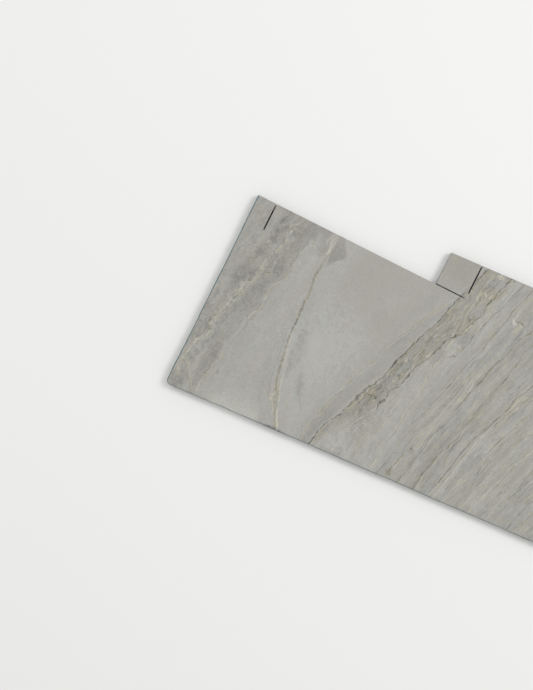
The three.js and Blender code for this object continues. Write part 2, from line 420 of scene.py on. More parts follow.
VEINS = (
    Vein("left squiggle's dark side", Tint.DARK, 3.0, (
        (130, 30, 2), (165, 44, 3), (192, 50, 6), (205, 56, 0), (225, 62, 2), (242, 70, 9), (255, 68, 3),
        (278, 73, 4), (300, 80, 1), (340, 96, 8), (352, 99, 2), (372, 107, 6), (392, 111, 2), (440, 130, 3),
        (458, 133, 4), (470, 141, 0)), line=Line.BROKEN),
    Vein("gold beside the left squiggle", Tint.GOLD, 3.0, (
        (280, 90, 0), (320, 97, 5), (355, 112, 7), (385, 116, 5), (405, 122, 7), (440, 145, 5),
        (460, 152, 2), (500, 155, 3), (560, 172, 5), (600, 190, 4), (640, 205, 0)), line=Line.RAGGED),
    Vein("thin left gold", Tint.GOLD, 2.2, (
        (180, 116, 0), (200, 118, 5), (240, 117, 6), (280, 121, 6), (320, 122, 4), (360, 131, 0))),
    Vein("second left vein's double", Tint.GOLD, 2.4, (
        (290, 184, 0), (310, 188, 5), (335, 194, 6), (358, 202, 5), (378, 208, 3), (400, 212, 0))),
    Vein("upper gold thread", Tint.GOLD, 2.4, (
        (490, 112, 0), (508, 112, 7), (516, 120, 7), (540, 123, 6), (575, 126, 5), (605, 129, 7),
        (640, 134, 6), (660, 141, 7), (672, 150, 4), (690, 156, 0)), line=Line.BROKEN),
    Vein("gold hook", Tint.GOLD, 2.6, (
        (506, 110, 0), (516, 104, 6), (526, 101, 8), (534, 101, 6), (545, 103, 0))),
    Vein("upper gold branch", Tint.GOLD, 2.6, (
        (530, 147, 0), (555, 149, 5), (575, 151, 5), (600, 158, 6), (618, 157, 7), (628, 149, 5),
        (645, 160, 6), (655, 172, 6), (670, 180, 2), (700, 190, 0)), line=Line.BROKEN),
    Vein("top brown thread", Tint.BROWN, 3.0, (
        (650, 150, 0), (685, 157, 7), (705, 158, 5), (720, 167, 6), (735, 173, 7), (840, 190, 6)),
        line=Line.BROKEN),
    Vein("gold bridge", Tint.PALE, 2.2, (
        (150, 480, 6), (162, 505, 5), (180, 507, 6), (200, 516, 7), (216, 521, 6), (228, 524, 0)),
        run=Run.ALONG),
    Vein("dotted pale thread", Tint.PALE, 2.6, (
        (520, 56, 0), (545, 58, 6), (575, 60, 7), (600, 66, 3), (640, 72, 2), (665, 74, 8), (700, 74, 7),
        (730, 76, 4), (840, 84, 3)), line=Line.BROKEN),

    Vein("main vein's white side", Tint.WHITE, 6.0, (
        (0, 438, 8), (25, 428, 9), (50, 417, 9), (80, 406, 9), (110, 398, 8), (140, 389, 6), (175, 381, 5),
        (210, 374, 5), (260, 364, 5), (300, 357, 5), (330, 352, 4), (360, 351, 0)), line=Line.KNOTTED),
    Vein("main vein's frayed foot", Tint.PALE, 5.0, (
        (40, 404, 0), (62, 396, 6), (84, 386, 8), (100, 374, 9), (116, 372, 8), (132, 378, 7), (150, 366, 7),
        (172, 368, 4), (190, 362, 0)), line=Line.KNOTTED),
    Vein("main vein's frayed foot's other side", Tint.GOLD, 4.0, (
        (70, 398, 0), (90, 378, 7), (104, 364, 7), (118, 386, 6), (134, 372, 8), (152, 377, 5),
        (168, 358, 3), (180, 356, 0)), line=Line.BROKEN),
    Vein("main vein's dark core", Tint.DARK, 5.2, (
        (0, 436, 3), (45, 408, 3), (70, 401, 4), (110, 382, 2), (140, 375, 3), (180, 363, 6), (205, 359, 8),
        (230, 356, 10), (248, 354, 10), (270, 351, 6), (300, 348, 5), (325, 345, 9), (355, 344, 10),
        (390, 347, 10), (420, 347, 10), (450, 346, 9), (470, 345, 8), (490, 350, 3), (515, 350, 3),
        (545, 345, 7), (565, 343, 7), (590, 347, 6), (620, 352, 3), (655, 359, 2), (700, 369, 0)),
        line=Line.BROKEN),
    Vein("main vein's left gold", Tint.GOLD, 3.0, (
        (50, 407, 0), (75, 394, 6), (100, 383, 8), (118, 378, 6), (150, 368, 5), (175, 362, 2),
        (200, 359, 0))),
    Vein("main vein's right gold", Tint.GOLD, 2.6, (
        (60, 409, 0), (100, 399, 8), (125, 391, 8), (145, 383, 8), (165, 379, 5), (200, 374, 4),
        (240, 366, 3), (280, 357, 0))),
    Vein("shadow line", Tint.SMOKE, 3.0, (
        (95, 358, 0), (110, 357, 4), (135, 352, 5), (165, 345, 4), (200, 340, 4), (260, 337, 3),
        (330, 331, 2), (380, 334, 0))),
    Vein("pale whisker", Tint.PALE, 3.6, (
        (395, 343, 0), (415, 338, 6), (440, 332, 6), (468, 328, 8), (490, 335, 6), (505, 345, 0))),
    Vein("top left loop", Tint.PALE, 4.0, (
        (650, 338, 0), (658, 345, 6), (672, 347, 4), (688, 338, 7), (702, 335, 8), (718, 342, 7),
        (736, 349, 6), (840, 365, 4))),
    Vein("top loop's dark side", Tint.SMOKE, 3.6, (
        (650, 344, 0), (665, 346, 8), (685, 345, 9), (700, 340, 4), (715, 346, 0))),
    Vein("top middle loop", Tint.WHITE, 5.0, (
        (655, 356, 0), (668, 355, 9), (685, 356, 8), (700, 352, 7), (712, 352, 8), (722, 358, 3),
        (736, 362, 2))),
    Vein("gold swirl", Tint.PALE, 3.6, (
        (266, 628, 0), (273, 646, 7), (281, 657, 8), (292, 664, 9), (301, 664, 8), (311, 656, 5),
        (322, 653, 4), (338, 650, 7), (350, 661, 8), (360, 671, 6), (368, 685, 0)),
        run=Run.ALONG, line=Line.KNOTTED),
    Vein("gold hairline's pale side", Tint.PALE, 3.0, (
        (100, 555, 2), (160, 569, 6), (200, 584, 5), (260, 614, 5), (330, 641, 6), (375, 670, 5),
        (410, 675, 3), (470, 703, 6), (520, 736, 6), (560, 757, 4), (640, 808, 5), (700, 838, 1))),
    Vein("dark vein's gold side", Tint.GOLD, 5.0, (
        (0, 570, 4), (40, 582, 6), (80, 592, 6), (115, 612, 8), (150, 634, 8), (190, 653, 9), (220, 666, 8),
        (240, 678, 9), (260, 690, 6), (300, 706, 9), (340, 722, 7), (380, 736, 7), (420, 747, 7),
        (470, 768, 6), (540, 797, 5), (590, 824, 7), (640, 838, 7), (690, 858, 5), (715, 868, 5),
        (780, 892, 5), (840, 918, 6)), line=Line.RAGGED),
    Vein("dark knots", Tint.DARK, 4.2, (
        (668, 262, 0), (680, 254, 6), (697, 253, 8), (708, 258, 5), (716, 250, 9), (723, 262, 5),
        (728, 275, 0)), run=Run.ALONG, line=Line.BROKEN),
    Vein("inner dark thread", Tint.DARK, 3.4, (
        (290, 712, 0), (300, 716, 5), (318, 724, 6), (335, 726, 3), (350, 762, 0), (356, 763, 5),
        (368, 768, 0), (378, 778, 4), (396, 785, 6), (410, 787, 3), (440, 784, 5), (455, 790, 3),
        (480, 796, 0)), line=Line.BROKEN),
    Vein("bundle gold one", Tint.GOLD, 3.6, (
        (330, 742, 0), (360, 750, 6), (395, 757, 7), (425, 772, 7), (450, 783, 7), (480, 794, 6),
        (520, 812, 7), (548, 824, 6), (580, 838, 7), (620, 848, 6), (660, 856, 6), (700, 866, 6),
        (735, 878, 7), (770, 893, 8), (800, 906, 7), (840, 922, 7)), line=Line.RAGGED),
    Vein("bundle gold two", Tint.GOLD, 3.2, (
        (470, 820, 0), (510, 833, 5), (560, 847, 6), (590, 861, 6), (615, 872, 7), (645, 880, 6),
        (675, 889, 6), (705, 897, 5), (740, 905, 4), (790, 916, 0)), line=Line.RAGGED),
    Vein("second dark vein's pale foot", Tint.PALE, 3.4, (
        (0, 645, 6), (40, 652, 8), (65, 658, 6), (100, 668, 6), (130, 677, 7), (155, 689, 8), (172, 703, 8),
        (185, 714, 9), (205, 724, 9), (225, 732, 7), (240, 737, 0))),
    Vein("second dark vein", Tint.DARK, 3.3, (
        (215, 735, 0), (225, 736, 8), (240, 738, 10), (258, 750, 8), (275, 752, 7), (288, 752, 7),
        (302, 760, 8), (318, 774, 9), (330, 781, 9), (350, 788, 8), (368, 793, 9), (388, 799, 8),
        (405, 804, 7), (425, 815, 7), (445, 826, 7), (460, 837, 7), (476, 846, 9), (492, 848, 6),
        (512, 857, 8), (530, 864, 10), (548, 873, 9), (562, 885, 10), (571, 898, 10), (582, 908, 10),
        (595, 913, 9), (612, 918, 9), (630, 927, 10), (648, 936, 10), (668, 947, 8), (680, 952, 4),
        (692, 954, 9), (706, 953, 10), (725, 957, 10), (742, 965, 9), (758, 971, 10), (778, 973, 10),
        (792, 981, 10), (804, 987, 9), (822, 992, 10), (840, 999, 10))),
    Vein("second dark vein's loop", Tint.DARK, 3.0, (
        (222, 733, 0), (238, 741, 7), (248, 748, 8), (262, 744, 6), (280, 746, 0)), line=Line.BROKEN),
    Vein("second dark vein's gold", Tint.GOLD, 3.4, (
        (540, 878, 0), (560, 893, 8), (600, 901, 7), (650, 905, 6), (700, 914, 3), (740, 930, 0)),
        line=Line.RAGGED),
    Vein("dark knot at the bundle's edge", Tint.DARK, 4.0, (
        (548, 893, 0), (558, 894, 9), (570, 896, 10), (580, 900, 0))),
    Vein("third dark vein", Tint.BROWN, 2.8, (
        (498, 921, 0), (506, 924, 6), (530, 934, 7), (545, 940, 9), (562, 948, 10), (580, 952, 8),
        (600, 957, 7), (625, 965, 8), (650, 974, 8), (675, 983, 8), (695, 991, 9), (715, 1003, 8),
        (740, 1011, 8), (760, 1018, 9), (785, 1026, 9), (805, 1035, 10), (840, 1050, 9))),
    Vein("dark hook", Tint.DARK, 3.2, (
        (896, 486, 0), (902, 490, 8), (908, 498, 9), (914, 503, 9), (920, 500, 7), (926, 495, 0)),
        run=Run.ALONG),
    Vein("third dark vein's gold", Tint.GOLD, 4.6, (
        (490, 905, 0), (510, 916, 5), (550, 932, 8), (590, 942, 8), (630, 951, 7), (655, 962, 6),
        (680, 975, 8), (700, 981, 6), (740, 984, 6), (790, 1002, 6), (840, 1015, 5)), line=Line.BROKEN),
    Vein("brown hairline", Tint.BROWN, 2.3, (
        (640, 905, 0), (690, 914, 5), (705, 918, 7), (722, 923, 8), (742, 929, 8), (762, 937, 9),
        (782, 948, 9), (800, 958, 8), (815, 961, 8), (840, 967, 8))),

    Vein("lower pale vein", Tint.PALE, 3.0, (
        (0, 701, 7), (35, 715, 7), (60, 725, 8), (80, 735, 7), (100, 745, 7), (118, 752, 8), (135, 760, 7),
        (155, 773, 7), (178, 785, 7), (200, 793, 7), (222, 803, 6), (245, 813, 5), (268, 825, 0))),
    Vein("lower brown vein", Tint.BROWN, 3.0, (
        (0, 859, 8), (35, 867, 8), (65, 877, 8), (95, 887, 7), (120, 896, 8), (138, 907, 10), (150, 906, 4),
        (165, 908, 0)), line=Line.BROKEN),
    Vein("lower gold vein", Tint.GOLD, 2.8, (
        (130, 902, 0), (155, 907, 6), (180, 912, 7), (205, 920, 7), (230, 928, 7), (255, 935, 8),
        (280, 941, 7), (305, 950, 6), (330, 960, 6), (355, 972, 8), (375, 978, 7), (400, 982, 6),
        (425, 988, 6), (455, 996, 7), (480, 1003, 7), (505, 1010, 7), (530, 1018, 7), (555, 1026, 7),
        (575, 1033, 6), (600, 1040, 0))),
    Vein("lower gold vein's pale side", Tint.WHITE, 3.4, (
        (150, 928, 0), (180, 924, 3), (215, 933, 4), (255, 946, 3.5), (300, 960, 3), (340, 972, 4),
        (370, 984, 3), (420, 994, 2), (540, 1026, 3), (580, 1040, 0))),
    Vein("lower pale lane", Tint.PALE, 3.6, (
        (0, 905, 3), (60, 900, 0), (130, 925, 5), (160, 932, 7), (200, 941, 5), (240, 950, 7), (270, 957, 6),
        (300, 968, 2), (340, 985, 4), (400, 1003, 5), (450, 1010, 3), (500, 1022, 0))),
    Vein("fourth dark vein", Tint.BROWN, 3.2, (
        (0, 908, 3), (60, 925, 4), (100, 935, 5), (130, 942, 6), (160, 950, 6), (190, 955, 7), (215, 962, 7),
        (240, 975, 9), (255, 981, 5), (290, 989, 3), (320, 999, 5), (350, 1007, 7), (375, 1015, 9),
        (400, 1022, 10), (425, 1030, 9), (450, 1040, 9), (470, 1047, 9), (495, 1053, 10), (515, 1060, 10),
        (535, 1067, 9), (555, 1078, 9), (575, 1088, 9), (595, 1095, 10), (615, 1100, 10), (635, 1106, 9),
        (655, 1115, 9), (670, 1125, 9), (690, 1138, 9), (840, 1195, 7))),
    Vein("fourth dark vein's gold", Tint.GOLD, 3.4, (
        (380, 1028, 0), (420, 1042, 5), (465, 1053, 6), (500, 1062, 8), (530, 1075, 8), (560, 1088, 8),
        (580, 1094, 9), (600, 1103, 5), (670, 1134, 6), (700, 1146, 0)), line=Line.RAGGED),
    Vein("white spill", Tint.WHITE, 7.0, (
        (400, 1014, 0), (418, 1018, 6), (432, 1020, 7), (445, 1020, 3), (470, 1024, 0))),
    Vein("fifth dark vein", Tint.BROWN, 3.4, (
        (0, 968, 5), (25, 972, 7), (50, 976, 8), (75, 981, 9), (95, 990, 8), (115, 996, 8), (140, 1001, 9),
        (155, 1006, 10), (172, 1016, 9), (190, 1027, 9), (205, 1030, 7), (218, 1037, 10), (235, 1045, 9),
        (250, 1050, 6), (270, 1052, 5), (290, 1058, 6), (310, 1063, 7), (330, 1067, 7), (350, 1069, 2),
        (370, 1076, 6), (395, 1086, 6), (415, 1093, 3), (450, 1104, 5), (475, 1114, 6), (500, 1122, 9),
        (530, 1129, 3), (560, 1136, 8), (580, 1140, 7), (610, 1144, 3), (640, 1160, 4), (840, 1225, 5))),
    Vein("fifth dark vein's pale side", Tint.PALE, 4.0, (
        (0, 982, 3), (40, 984, 6), (80, 990, 6), (110, 1003, 5), (150, 1014, 4), (190, 1033, 7),
        (205, 1036, 8), (240, 1053, 4), (262, 1054, 8), (300, 1062, 3), (345, 1048, 0))),
    Vein("grey wisp", Tint.PALE, 4.0, (
        (250, 1035, 2), (300, 1038, 6), (320, 1041, 6), (345, 1048, 8), (362, 1052, 7), (385, 1050, 5),
        (410, 1050, 5), (440, 1050, 0)), line=Line.BROKEN),
    Vein("right dark vein's gold", Tint.GOLD, 3.4, (
        (0, 1036, 6), (30, 1045, 6), (60, 1056, 7), (95, 1068, 8), (130, 1078, 8), (165, 1088, 8),
        (195, 1094, 7), (215, 1106, 7), (240, 1116, 9), (270, 1122, 8), (295, 1128, 8), (330, 1142, 6),
        (350, 1150, 6), (400, 1172, 6), (425, 1184, 8), (440, 1187, 8), (480, 1208, 4), (515, 1226, 4),
        (600, 1262, 4), (840, 1352, 4))),
    Vein("right dark vein's white side", Tint.WHITE, 3.6, (
        (0, 1048, 3), (100, 1074, 4), (190, 1097, 7), (230, 1110, 8), (262, 1119, 7), (290, 1129, 7),
        (330, 1147, 5), (360, 1160, 4), (400, 1178, 3), (430, 1188, 8), (450, 1196, 0))),
    Vein("gold spur", Tint.GOLD, 2.6, (
        (1184, 428, 5), (1200, 440, 8), (1214, 449, 8), (1228, 460, 7), (1240, 473, 7), (1300, 520, 5)),
        run=Run.ALONG),
    Vein("dark corner", Tint.DARK, 3.0, (
        (1066, 706, 0), (1073, 703, 8), (1080, 704, 5), (1088, 706, 9), (1096, 705, 9), (1103, 701, 6),
        (1112, 696, 0)), run=Run.ALONG),
    Vein("rusty corner", Tint.BROWN, 3.0, (
        (1046, 724, 0), (1051, 719, 6), (1057, 715, 8), (1064, 710, 0)), run=Run.ALONG),

    Vein("right streak one", Tint.PALE, 3.2, (
        (0, 1185, 10), (30, 1195, 10), (55, 1204, 10), (80, 1213, 10), (100, 1222, 10), (120, 1230, 10),
        (140, 1240, 10), (160, 1247, 10), (180, 1254, 8), (215, 1266, 8), (230, 1273, 9), (245, 1285, 9),
        (262, 1295, 10), (285, 1305, 10), (300, 1312, 9), (420, 1356, 6), (840, 1490, 6))),
    Vein("right streak two", Tint.GOLD, 3.2, (
        (0, 1130, 4), (30, 1143, 6), (60, 1150, 6), (90, 1158, 8), (115, 1166, 8), (132, 1176, 9),
        (150, 1185, 9), (166, 1194, 8), (185, 1201, 6), (210, 1212, 0))),
    Vein("right streak three", Tint.PALE, 2.9, (
        (30, 1096, 4), (60, 1103, 8), (90, 1113, 9), (115, 1123, 9), (135, 1134, 9), (165, 1150, 6),
        (190, 1158, 8), (210, 1166, 8), (240, 1178, 8), (270, 1189, 6), (300, 1201, 4), (340, 1220, 5),
        (400, 1246, 4))),
    Vein("right streak four", Tint.PALE, 3.2, (
        (205, 1150, 0), (222, 1156, 8), (240, 1163, 9), (262, 1172, 9), (285, 1182, 8), (310, 1192, 8),
        (340, 1208, 5), (370, 1222, 5), (400, 1236, 2), (460, 1262, 0))),
    Vein("right streak five", Tint.GOLD, 3.2, (
        (250, 1226, 0), (290, 1243, 6), (320, 1257, 8), (335, 1270, 8), (350, 1285, 9), (360, 1296, 6),
        (420, 1330, 5), (840, 1460, 5))),
    Vein("right streak six", Tint.SMOKE, 4.1, (
        (20, 1262, 2), (60, 1278, 6), (100, 1298, 9), (125, 1311, 9), (155, 1326, 10), (180, 1337, 9),
        (205, 1351, 8), (320, 1396, 6), (840, 1560, 6)), line=Line.BROKEN),
    Vein("right streak seven", Tint.GOLD, 3.4, (
        (20, 1266, 5), (45, 1275, 8), (75, 1288, 8), (98, 1297, 6), (130, 1306, 8), (165, 1320, 0)),
        line=Line.BROKEN),
    Vein("right streak eight", Tint.GOLD, 3.2, (
        (0, 1364, 5), (35, 1378, 6), (60, 1390, 8), (95, 1402, 6), (200, 1440, 6), (500, 1545, 5))),
    Vein("right streak nine", Tint.PALE, 3.7, (
        (330, 1158, 0), (360, 1168, 6), (385, 1180, 6), (410, 1196, 8), (430, 1210, 6), (470, 1238, 2),
        (520, 1260, 0))),
    Vein("right streak ten", Tint.PALE, 3.2, (
        (0, 1148, 6), (40, 1164, 6), (80, 1176, 6), (120, 1190, 5), (170, 1210, 4), (240, 1238, 5),
        (300, 1262, 6), (360, 1288, 5), (500, 1345, 4))),
    Vein("far dark spots", Tint.SMOKE, 5.0, (
        (0, 1338, 2), (25, 1343, 10), (45, 1346, 5), (62, 1356, 10), (90, 1366, 5), (115, 1372, 9),
        (150, 1385, 2), (400, 1470, 5)), line=Line.BROKEN),
)

# The plain stone goes from dark to light, with a warm stain in streaks and flecks and with smoke in banks.
LIGHT_STONE = "#b9b9b5"
DARK_STONE = "#7f7f7b"
WARM_STONE = "#afa999"
SMOKE = "#7b7a77"

# The dark bundle's bank says how much of the bundle there is. The smoke in it goes with the square of that.
BUNDLE = Bank("dark bundle", SMOKE, (
    (0, 566, 590, 0.50), (60, 577, 612, 0.65), (110, 598, 646, 0.75), (160, 628, 684, 0.85),
    (200, 646, 722, 0.95), (240, 660, 742, 1.0), (270, 673, 754, 1.0), (300, 696, 764, 0.95),
    (340, 716, 790, 0.85), (400, 731, 810, 0.76), (450, 754, 850, 0.78), (500, 774, 878, 0.80),
    (560, 802, 908, 0.80), (600, 819, 944, 0.78), (650, 833, 960, 0.74), (700, 851, 980, 0.72),
    (760, 875, 1000, 0.72), (840, 908, 1030, 0.72)), (5.0, 30.0))

BANKS = (
    Bank("smoky tongue", SMOKE, (
        (596, 362, 374, 0.0), (622, 362, 382, 0.30), (640, 360, 394, 0.52), (652, 360, 407, 0.58),
        (664, 360, 422, 0.58), (675, 361, 427, 0.56), (690, 362, 422, 0.52), (708, 364, 410, 0.44),
        (725, 367, 402, 0.32), (760, 369, 396, 0.2)), (9.0, 16.0)),
    Bank("smoke left of the main vein", SMOKE, (
        (628, 318, 338, 0.0), (644, 306, 348, 0.28), (658, 302, 352, 0.42), (680, 308, 350, 0.38),
        (705, 296, 340, 0.32), (735, 282, 348, 0.42), (760, 280, 350, 0.35)), (24.0, 12.0)),
    Bank("smoke at the top", SMOKE, (
        (600, 205, 225, 0.0), (650, 196, 268, 0.20), (700, 188, 292, 0.25), (760, 182, 300, 0.25)),
        (28.0, 40.0)),
    Bank("shade left of the second left vein", SMOKE, (
        (20, 84, 112, 0.1), (90, 78, 128, 0.3), (130, 76, 140, 0.45), (185, 84, 140, 0.40),
        (240, 100, 146, 0.22), (300, 112, 160, 0.15), (370, 128, 190, 0.15), (430, 138, 206, 0.12),
        (520, 160, 232, 0.15), (560, 176, 240, 0.08)), (26.0, 14.0)),
    Bank("shade left of the squiggle", SMOKE, (
        (200, 30, 60, 0.0), (250, 28, 66, 0.4), (330, 44, 82, 0.15), (420, 56, 104, 0.4),
        (462, 60, 126, 0.6), (500, 66, 150, 0.5), (540, 84, 152, 0.2), (570, 96, 156, 0.35),
        (600, 104, 160, 0.2), (650, 124, 184, 0.35), (700, 132, 190, 0.45), (760, 138, 196, 0.4)),
        (26.0, 12.0)),
    Bank("shade right of the main vein", SMOKE, (
        (160, 388, 400, 0.0), (230, 374, 425, 0.32), (300, 366, 440, 0.38), (360, 366, 424, 0.30),
        (420, 364, 400, 0.12), (520, 362, 380, 0.0)), (14.0, 40.0)),
    Bank("lens", SMOKE, (
        (60, 500, 510, 0.0), (110, 474, 500, 0.14), (140, 456, 480, 0.24), (180, 442, 466, 0.28),
        (230, 424, 450, 0.22), (270, 412, 430, 0.0)), (12.0, 24.0)),
    Bank("shade under the gold hairline", SMOKE, (
        (0, 524, 560, 0.35), (80, 540, 580, 0.35), (160, 560, 620, 0.3), (260, 606, 660, 0.25),
        (340, 640, 706, 0.18), (420, 674, 735, 0.15), (520, 728, 780, 0.2), (640, 806, 828, 0.1)),
        (10.0, 10.0)),
    Bank("pale foot", "#c2c2ba", (
        (0, 150, 360, 0.75), (20, 150, 366, 0.65), (45, 170, 362, 0.35), (80, 190, 350, 0.1),
        (110, 200, 340, 0.0)), (40.0, 24.0)),
    Bank("warm field", "#a19e95", (
        (330, 560, 640, 0.0), (420, 420, 660, 0.15), (500, 400, 700, 0.30), (620, 420, 770, 0.38),
        (730, 440, 850, 0.42), (770, 640, 900, 0.62), (840, 640, 900, 0.70)), (60.0, 36.0)),
    # A soft, very dark patch drawn on a short stretch of the lower edge.
    Bank("dark patch on the lower edge", "#2f312e", (
        (0, 350, 500, 0.85), (5, 362, 486, 0.75), (11, 384, 456, 0.35), (18, 400, 440, 0.0)), (46.0, 52.0)),
    Bank("white corner", "#c9c8c0", (
        (676, 1068, 1074, 0.0), (688, 1065, 1077, 0.45), (695, 1062, 1084, 0.9), (702, 1060, 1076, 1.0),
        (712, 1053, 1066, 0.7), (722, 1046, 1054, 0.25), (734, 1044, 1047, 0.0)), (3.0, 4.0)),
    Bank("second white corner", "#bcbab0", (
        (676, 1112, 1118, 0.0), (686, 1108, 1126, 0.6), (694, 1108, 1122, 0.5), (702, 1112, 1116, 0.0)),
        (5.0, 6.0)),
)

PATCHES = (
    Patch("spot by the thread", SMOKE, (125, 570), (15, 17), 20, 0.55, 0.5),
    Patch("eye over the second left vein", SMOKE, (216, 540), (22, 18), -20, 0.45),
    Patch("eye's core", Tint.BROWN.usual, (217, 522), (5, 6), 0, 0.9),
    Patch("spot over the hook", SMOKE, (135, 485), (16, 22), 10, 0.45, 0.5),
    Patch("spot low left", SMOKE, (80, 455), (24, 24), 10, 0.3),
    Patch("spot at the left edge", SMOKE, (44, 375), (15, 18), 0, 0.4),
    Patch("spot on the branch", SMOKE, (156, 632), (17, 12), 10, 0.55, 0.5),
    Patch("spot above the branch", SMOKE, (162, 665), (18, 22), 10, 0.4),
    Patch("spot at the top thread", SMOKE, (160, 706), (15, 18), 20, 0.4),
    Patch("spot in the squiggle", SMOKE, (66, 250), (14, 18), 0, 0.4),
    Patch("spot at the left edge's middle", SMOKE, (40, 322), (18, 16), 0, 0.3),
    Patch("spot by the second left vein", SMOKE, (122, 165), (26, 34), 10, 0.25),
    Patch("foot of the second left vein", Tint.GOLD.other, (120, 92), (10, 6), 0, 0.7),
    Patch("corner line", Tint.PALE.other, (70, 64), (3.4, 96), -32, 0.8, 0.95),
    Patch("second foot of the second left vein", Tint.BROWN.usual, (158, 112), (7, 14), -10, 0.35),
    Patch("dark lower corner", SMOKE, (36, 34), (34, 34), 0, 0.35),
    Patch("light heart", LIGHT_STONE, (455, 345), (150, 190), 20, 0.4),
    Patch("warm cloud", "#a39d96", (620, 520), (95, 75), 30, 0.30, 0.9),
    Patch("warm cloud under the notch", "#a6a197", (520, 640), (110, 60), 20, 0.25, 0.9),
    Patch("shade on the tab", "#98968f", (815, 795), (85, 75), 0, 0.32, 0.9),
    Patch("smoke at the bundle's foot", SMOKE, (700, 180), (48, 52), 30, 0.35, 0.9),
    Patch("light stone beside the bundle's foot", LIGHT_STONE, (655, 60), (50, 60), 30, 0.5, 0.9),
    Patch("smoke beside the bundle's top", SMOKE, (928, 574), (22, 60), 24, 0.38, 0.9),
    Patch("smoke by the bundle's bend", SMOKE, (870, 480), (18, 56), 24, 0.30, 0.9),
    Patch("shade in the lens's foot", SMOKE, (450, 185), (26, 66), -15, 0.28, 0.9),
    Patch("shade between the right veins", SMOKE, (1140, 182), (44, 56), 24, 0.26, 0.9),
    Patch("light stone at the right foot", LIGHT_STONE, (1200, 36), (62, 40), 24, 0.34, 0.9),
    Patch("dark knot of the lower edge", Tint.BROWN.usual, (866, 26), (19, 17), -30, 0.5, 0.6),
    Patch("dark knot over the lower edge", Tint.BROWN.usual, (914, 126), (13, 14), -30, 0.35, 0.6),
    Patch("knot at the hook", Tint.DARK.other, (905, 136), (6, 4), 20, 0.6),
    Patch("knot in the bend", Tint.DARK.usual, (679, 281), (8, 4), 15, 0.8),
    Patch("long knot", Tint.DARK.usual, (732, 398), (4.5, 15), 15, 0.85),
    Patch("inner knot", Tint.DARK.usual, (761, 358), (4, 7), 0, 0.7),
    Patch("brown knot over the inner knot", Tint.BROWN.usual, (783, 394), (4, 7), 0, 0.4),
    Patch("crooked knot", Tint.DARK.usual, (716, 251), (6, 5), 20, 0.7),
    Patch("loop's left knot", Tint.DARK.usual, (737, 243), (4, 10), 10, 0.7),
    Patch("loop's right knot", Tint.DARK.usual, (751, 257), (3.5, 8), 0, 0.65),
    Patch("knot over the loop", Tint.DARK.usual, (789, 361), (4, 10), 10, 0.65),
    Patch("knot at the bundle's edge", Tint.DARK.usual, (895, 569), (5.5, 8), 0, 0.75),
    Patch("pale cloud low in the bundle", Tint.PALE.other, (652, 190), (8, 16), 25, 0.5),
    Patch("pale cloud in the bend", Tint.PALE.other, (698, 268), (12, 11), 20, 0.4),
    Patch("first knot of the frayed foot", Tint.PALE.usual, (377, 118), (8, 7), 0, 0.6),
    Patch("second knot of the frayed foot", Tint.PALE.other, (385, 100), (6, 9), 20, 0.7),
    Patch("third knot of the frayed foot", Tint.PALE.usual, (368, 101), (6, 5), 0, 0.5),
    Patch("fourth knot of the frayed foot", Tint.PALE.other, (379, 142), (5, 9), 10, 0.6),
    Patch("fifth knot of the frayed foot", Tint.PALE.usual, (370, 160), (4, 8), 10, 0.5),
    Patch("pale cloud over the bend", Tint.PALE.usual, (704, 305), (7, 11), 10, 0.5),
    Patch("gold flake", Tint.GOLD.usual, (738, 412), (5, 8), 10, 0.5),
    Patch("top gold flake", Tint.GOLD.other, (294, 662), (5, 3), 20, 0.6),
)


@dataclass(frozen=True)
class BedLaw:
    """How strong something is from bed to bed across the slab.

    Args:
        name: What it is called in the node tree.
        points: Pairs of the bed coordinate, or another place that the name tells of, in mm and the strength.
    """

    name: str
    points: tuple[Pair, ...]

    def read(self, tree: Tree, bed: Socket) -> Socket:
        """Reads the strength at a place.

        Args:
            tree: The node tree of the stone.
            bed: Output with the bed coordinate, or the other place, as a share of SPAN.

        Returns:
            The output with the strength.
        """
        curve = add_node(tree, "FloatCurve", {"Value": bed}, label=self.name)
        draw_curve(curve, [(mark / SPAN, share) for mark, share in self.points])
        return curve.outputs[0]


TONES = BedLaw("how light the stone is", (
    (0, 0.50), (60, 0.50), (100, 0.42), (145, 0.42), (182, 0.48), (196, 0.58), (220, 0.68), (300, 0.74),
    (355, 0.70), (376, 0.72), (430, 0.78), (500, 0.82), (570, 0.76), (612, 0.66), (640, 0.68), (684, 0.66),
    (700, 0.58), (760, 0.62), (800, 0.66), (830, 0.66), (866, 0.70), (905, 0.74), (926, 0.66), (940, 0.58),
    (1000, 0.52), (1060, 0.48), (1110, 0.50), (1136, 0.60), (1200, 0.58), (1300, 0.58), (1380, 0.58),
    (1500, 0.55)))
STREAKS = BedLaw("how streaky the stone is", (
    (0, 0.65), (90, 0.65), (125, 0.95), (185, 0.90), (200, 0.40), (300, 0.28), (380, 0.20), (450, 0.08),
    (590, 0.08), (630, 0.35), (690, 0.55), (860, 0.75), (900, 0.70), (940, 0.80), (1100, 0.88), (1200, 0.85),
    (1500, 0.90)))
MOTTLES = BedLaw("how mottled the stone is", (
    (0, 0.9), (60, 1.15), (110, 1.25), (140, 0.85), (190, 0.75), (230, 0.38), (370, 0.38), (420, 0.25),
    (620, 0.25), (680, 0.5), (720, 1.0), (840, 0.7), (900, 0.4), (1000, 0.5), (1300, 0.5), (1500, 0.5)))
LACE = BedLaw("how much lace there is", (
    (0, 0.45), (60, 0.85), (90, 1.0), (118, 0.95), (138, 0.45), (185, 0.35), (204, 0.08), (260, 0.0),
    (1500, 0.0)))
THREADS = BedLaw("how many threads there are", (
    (0, 0.15), (200, 0.10), (350, 0.0), (620, 0.0), (690, 0.40), (840, 0.55), (900, 0.45), (940, 0.9),
    (1100, 1.0), (1300, 1.0), (1500, 1.0)))
BUNDLE_ONLY = BedLaw("nothing outside the dark bundle", ((0, 0.0), (1500, 0.0)))
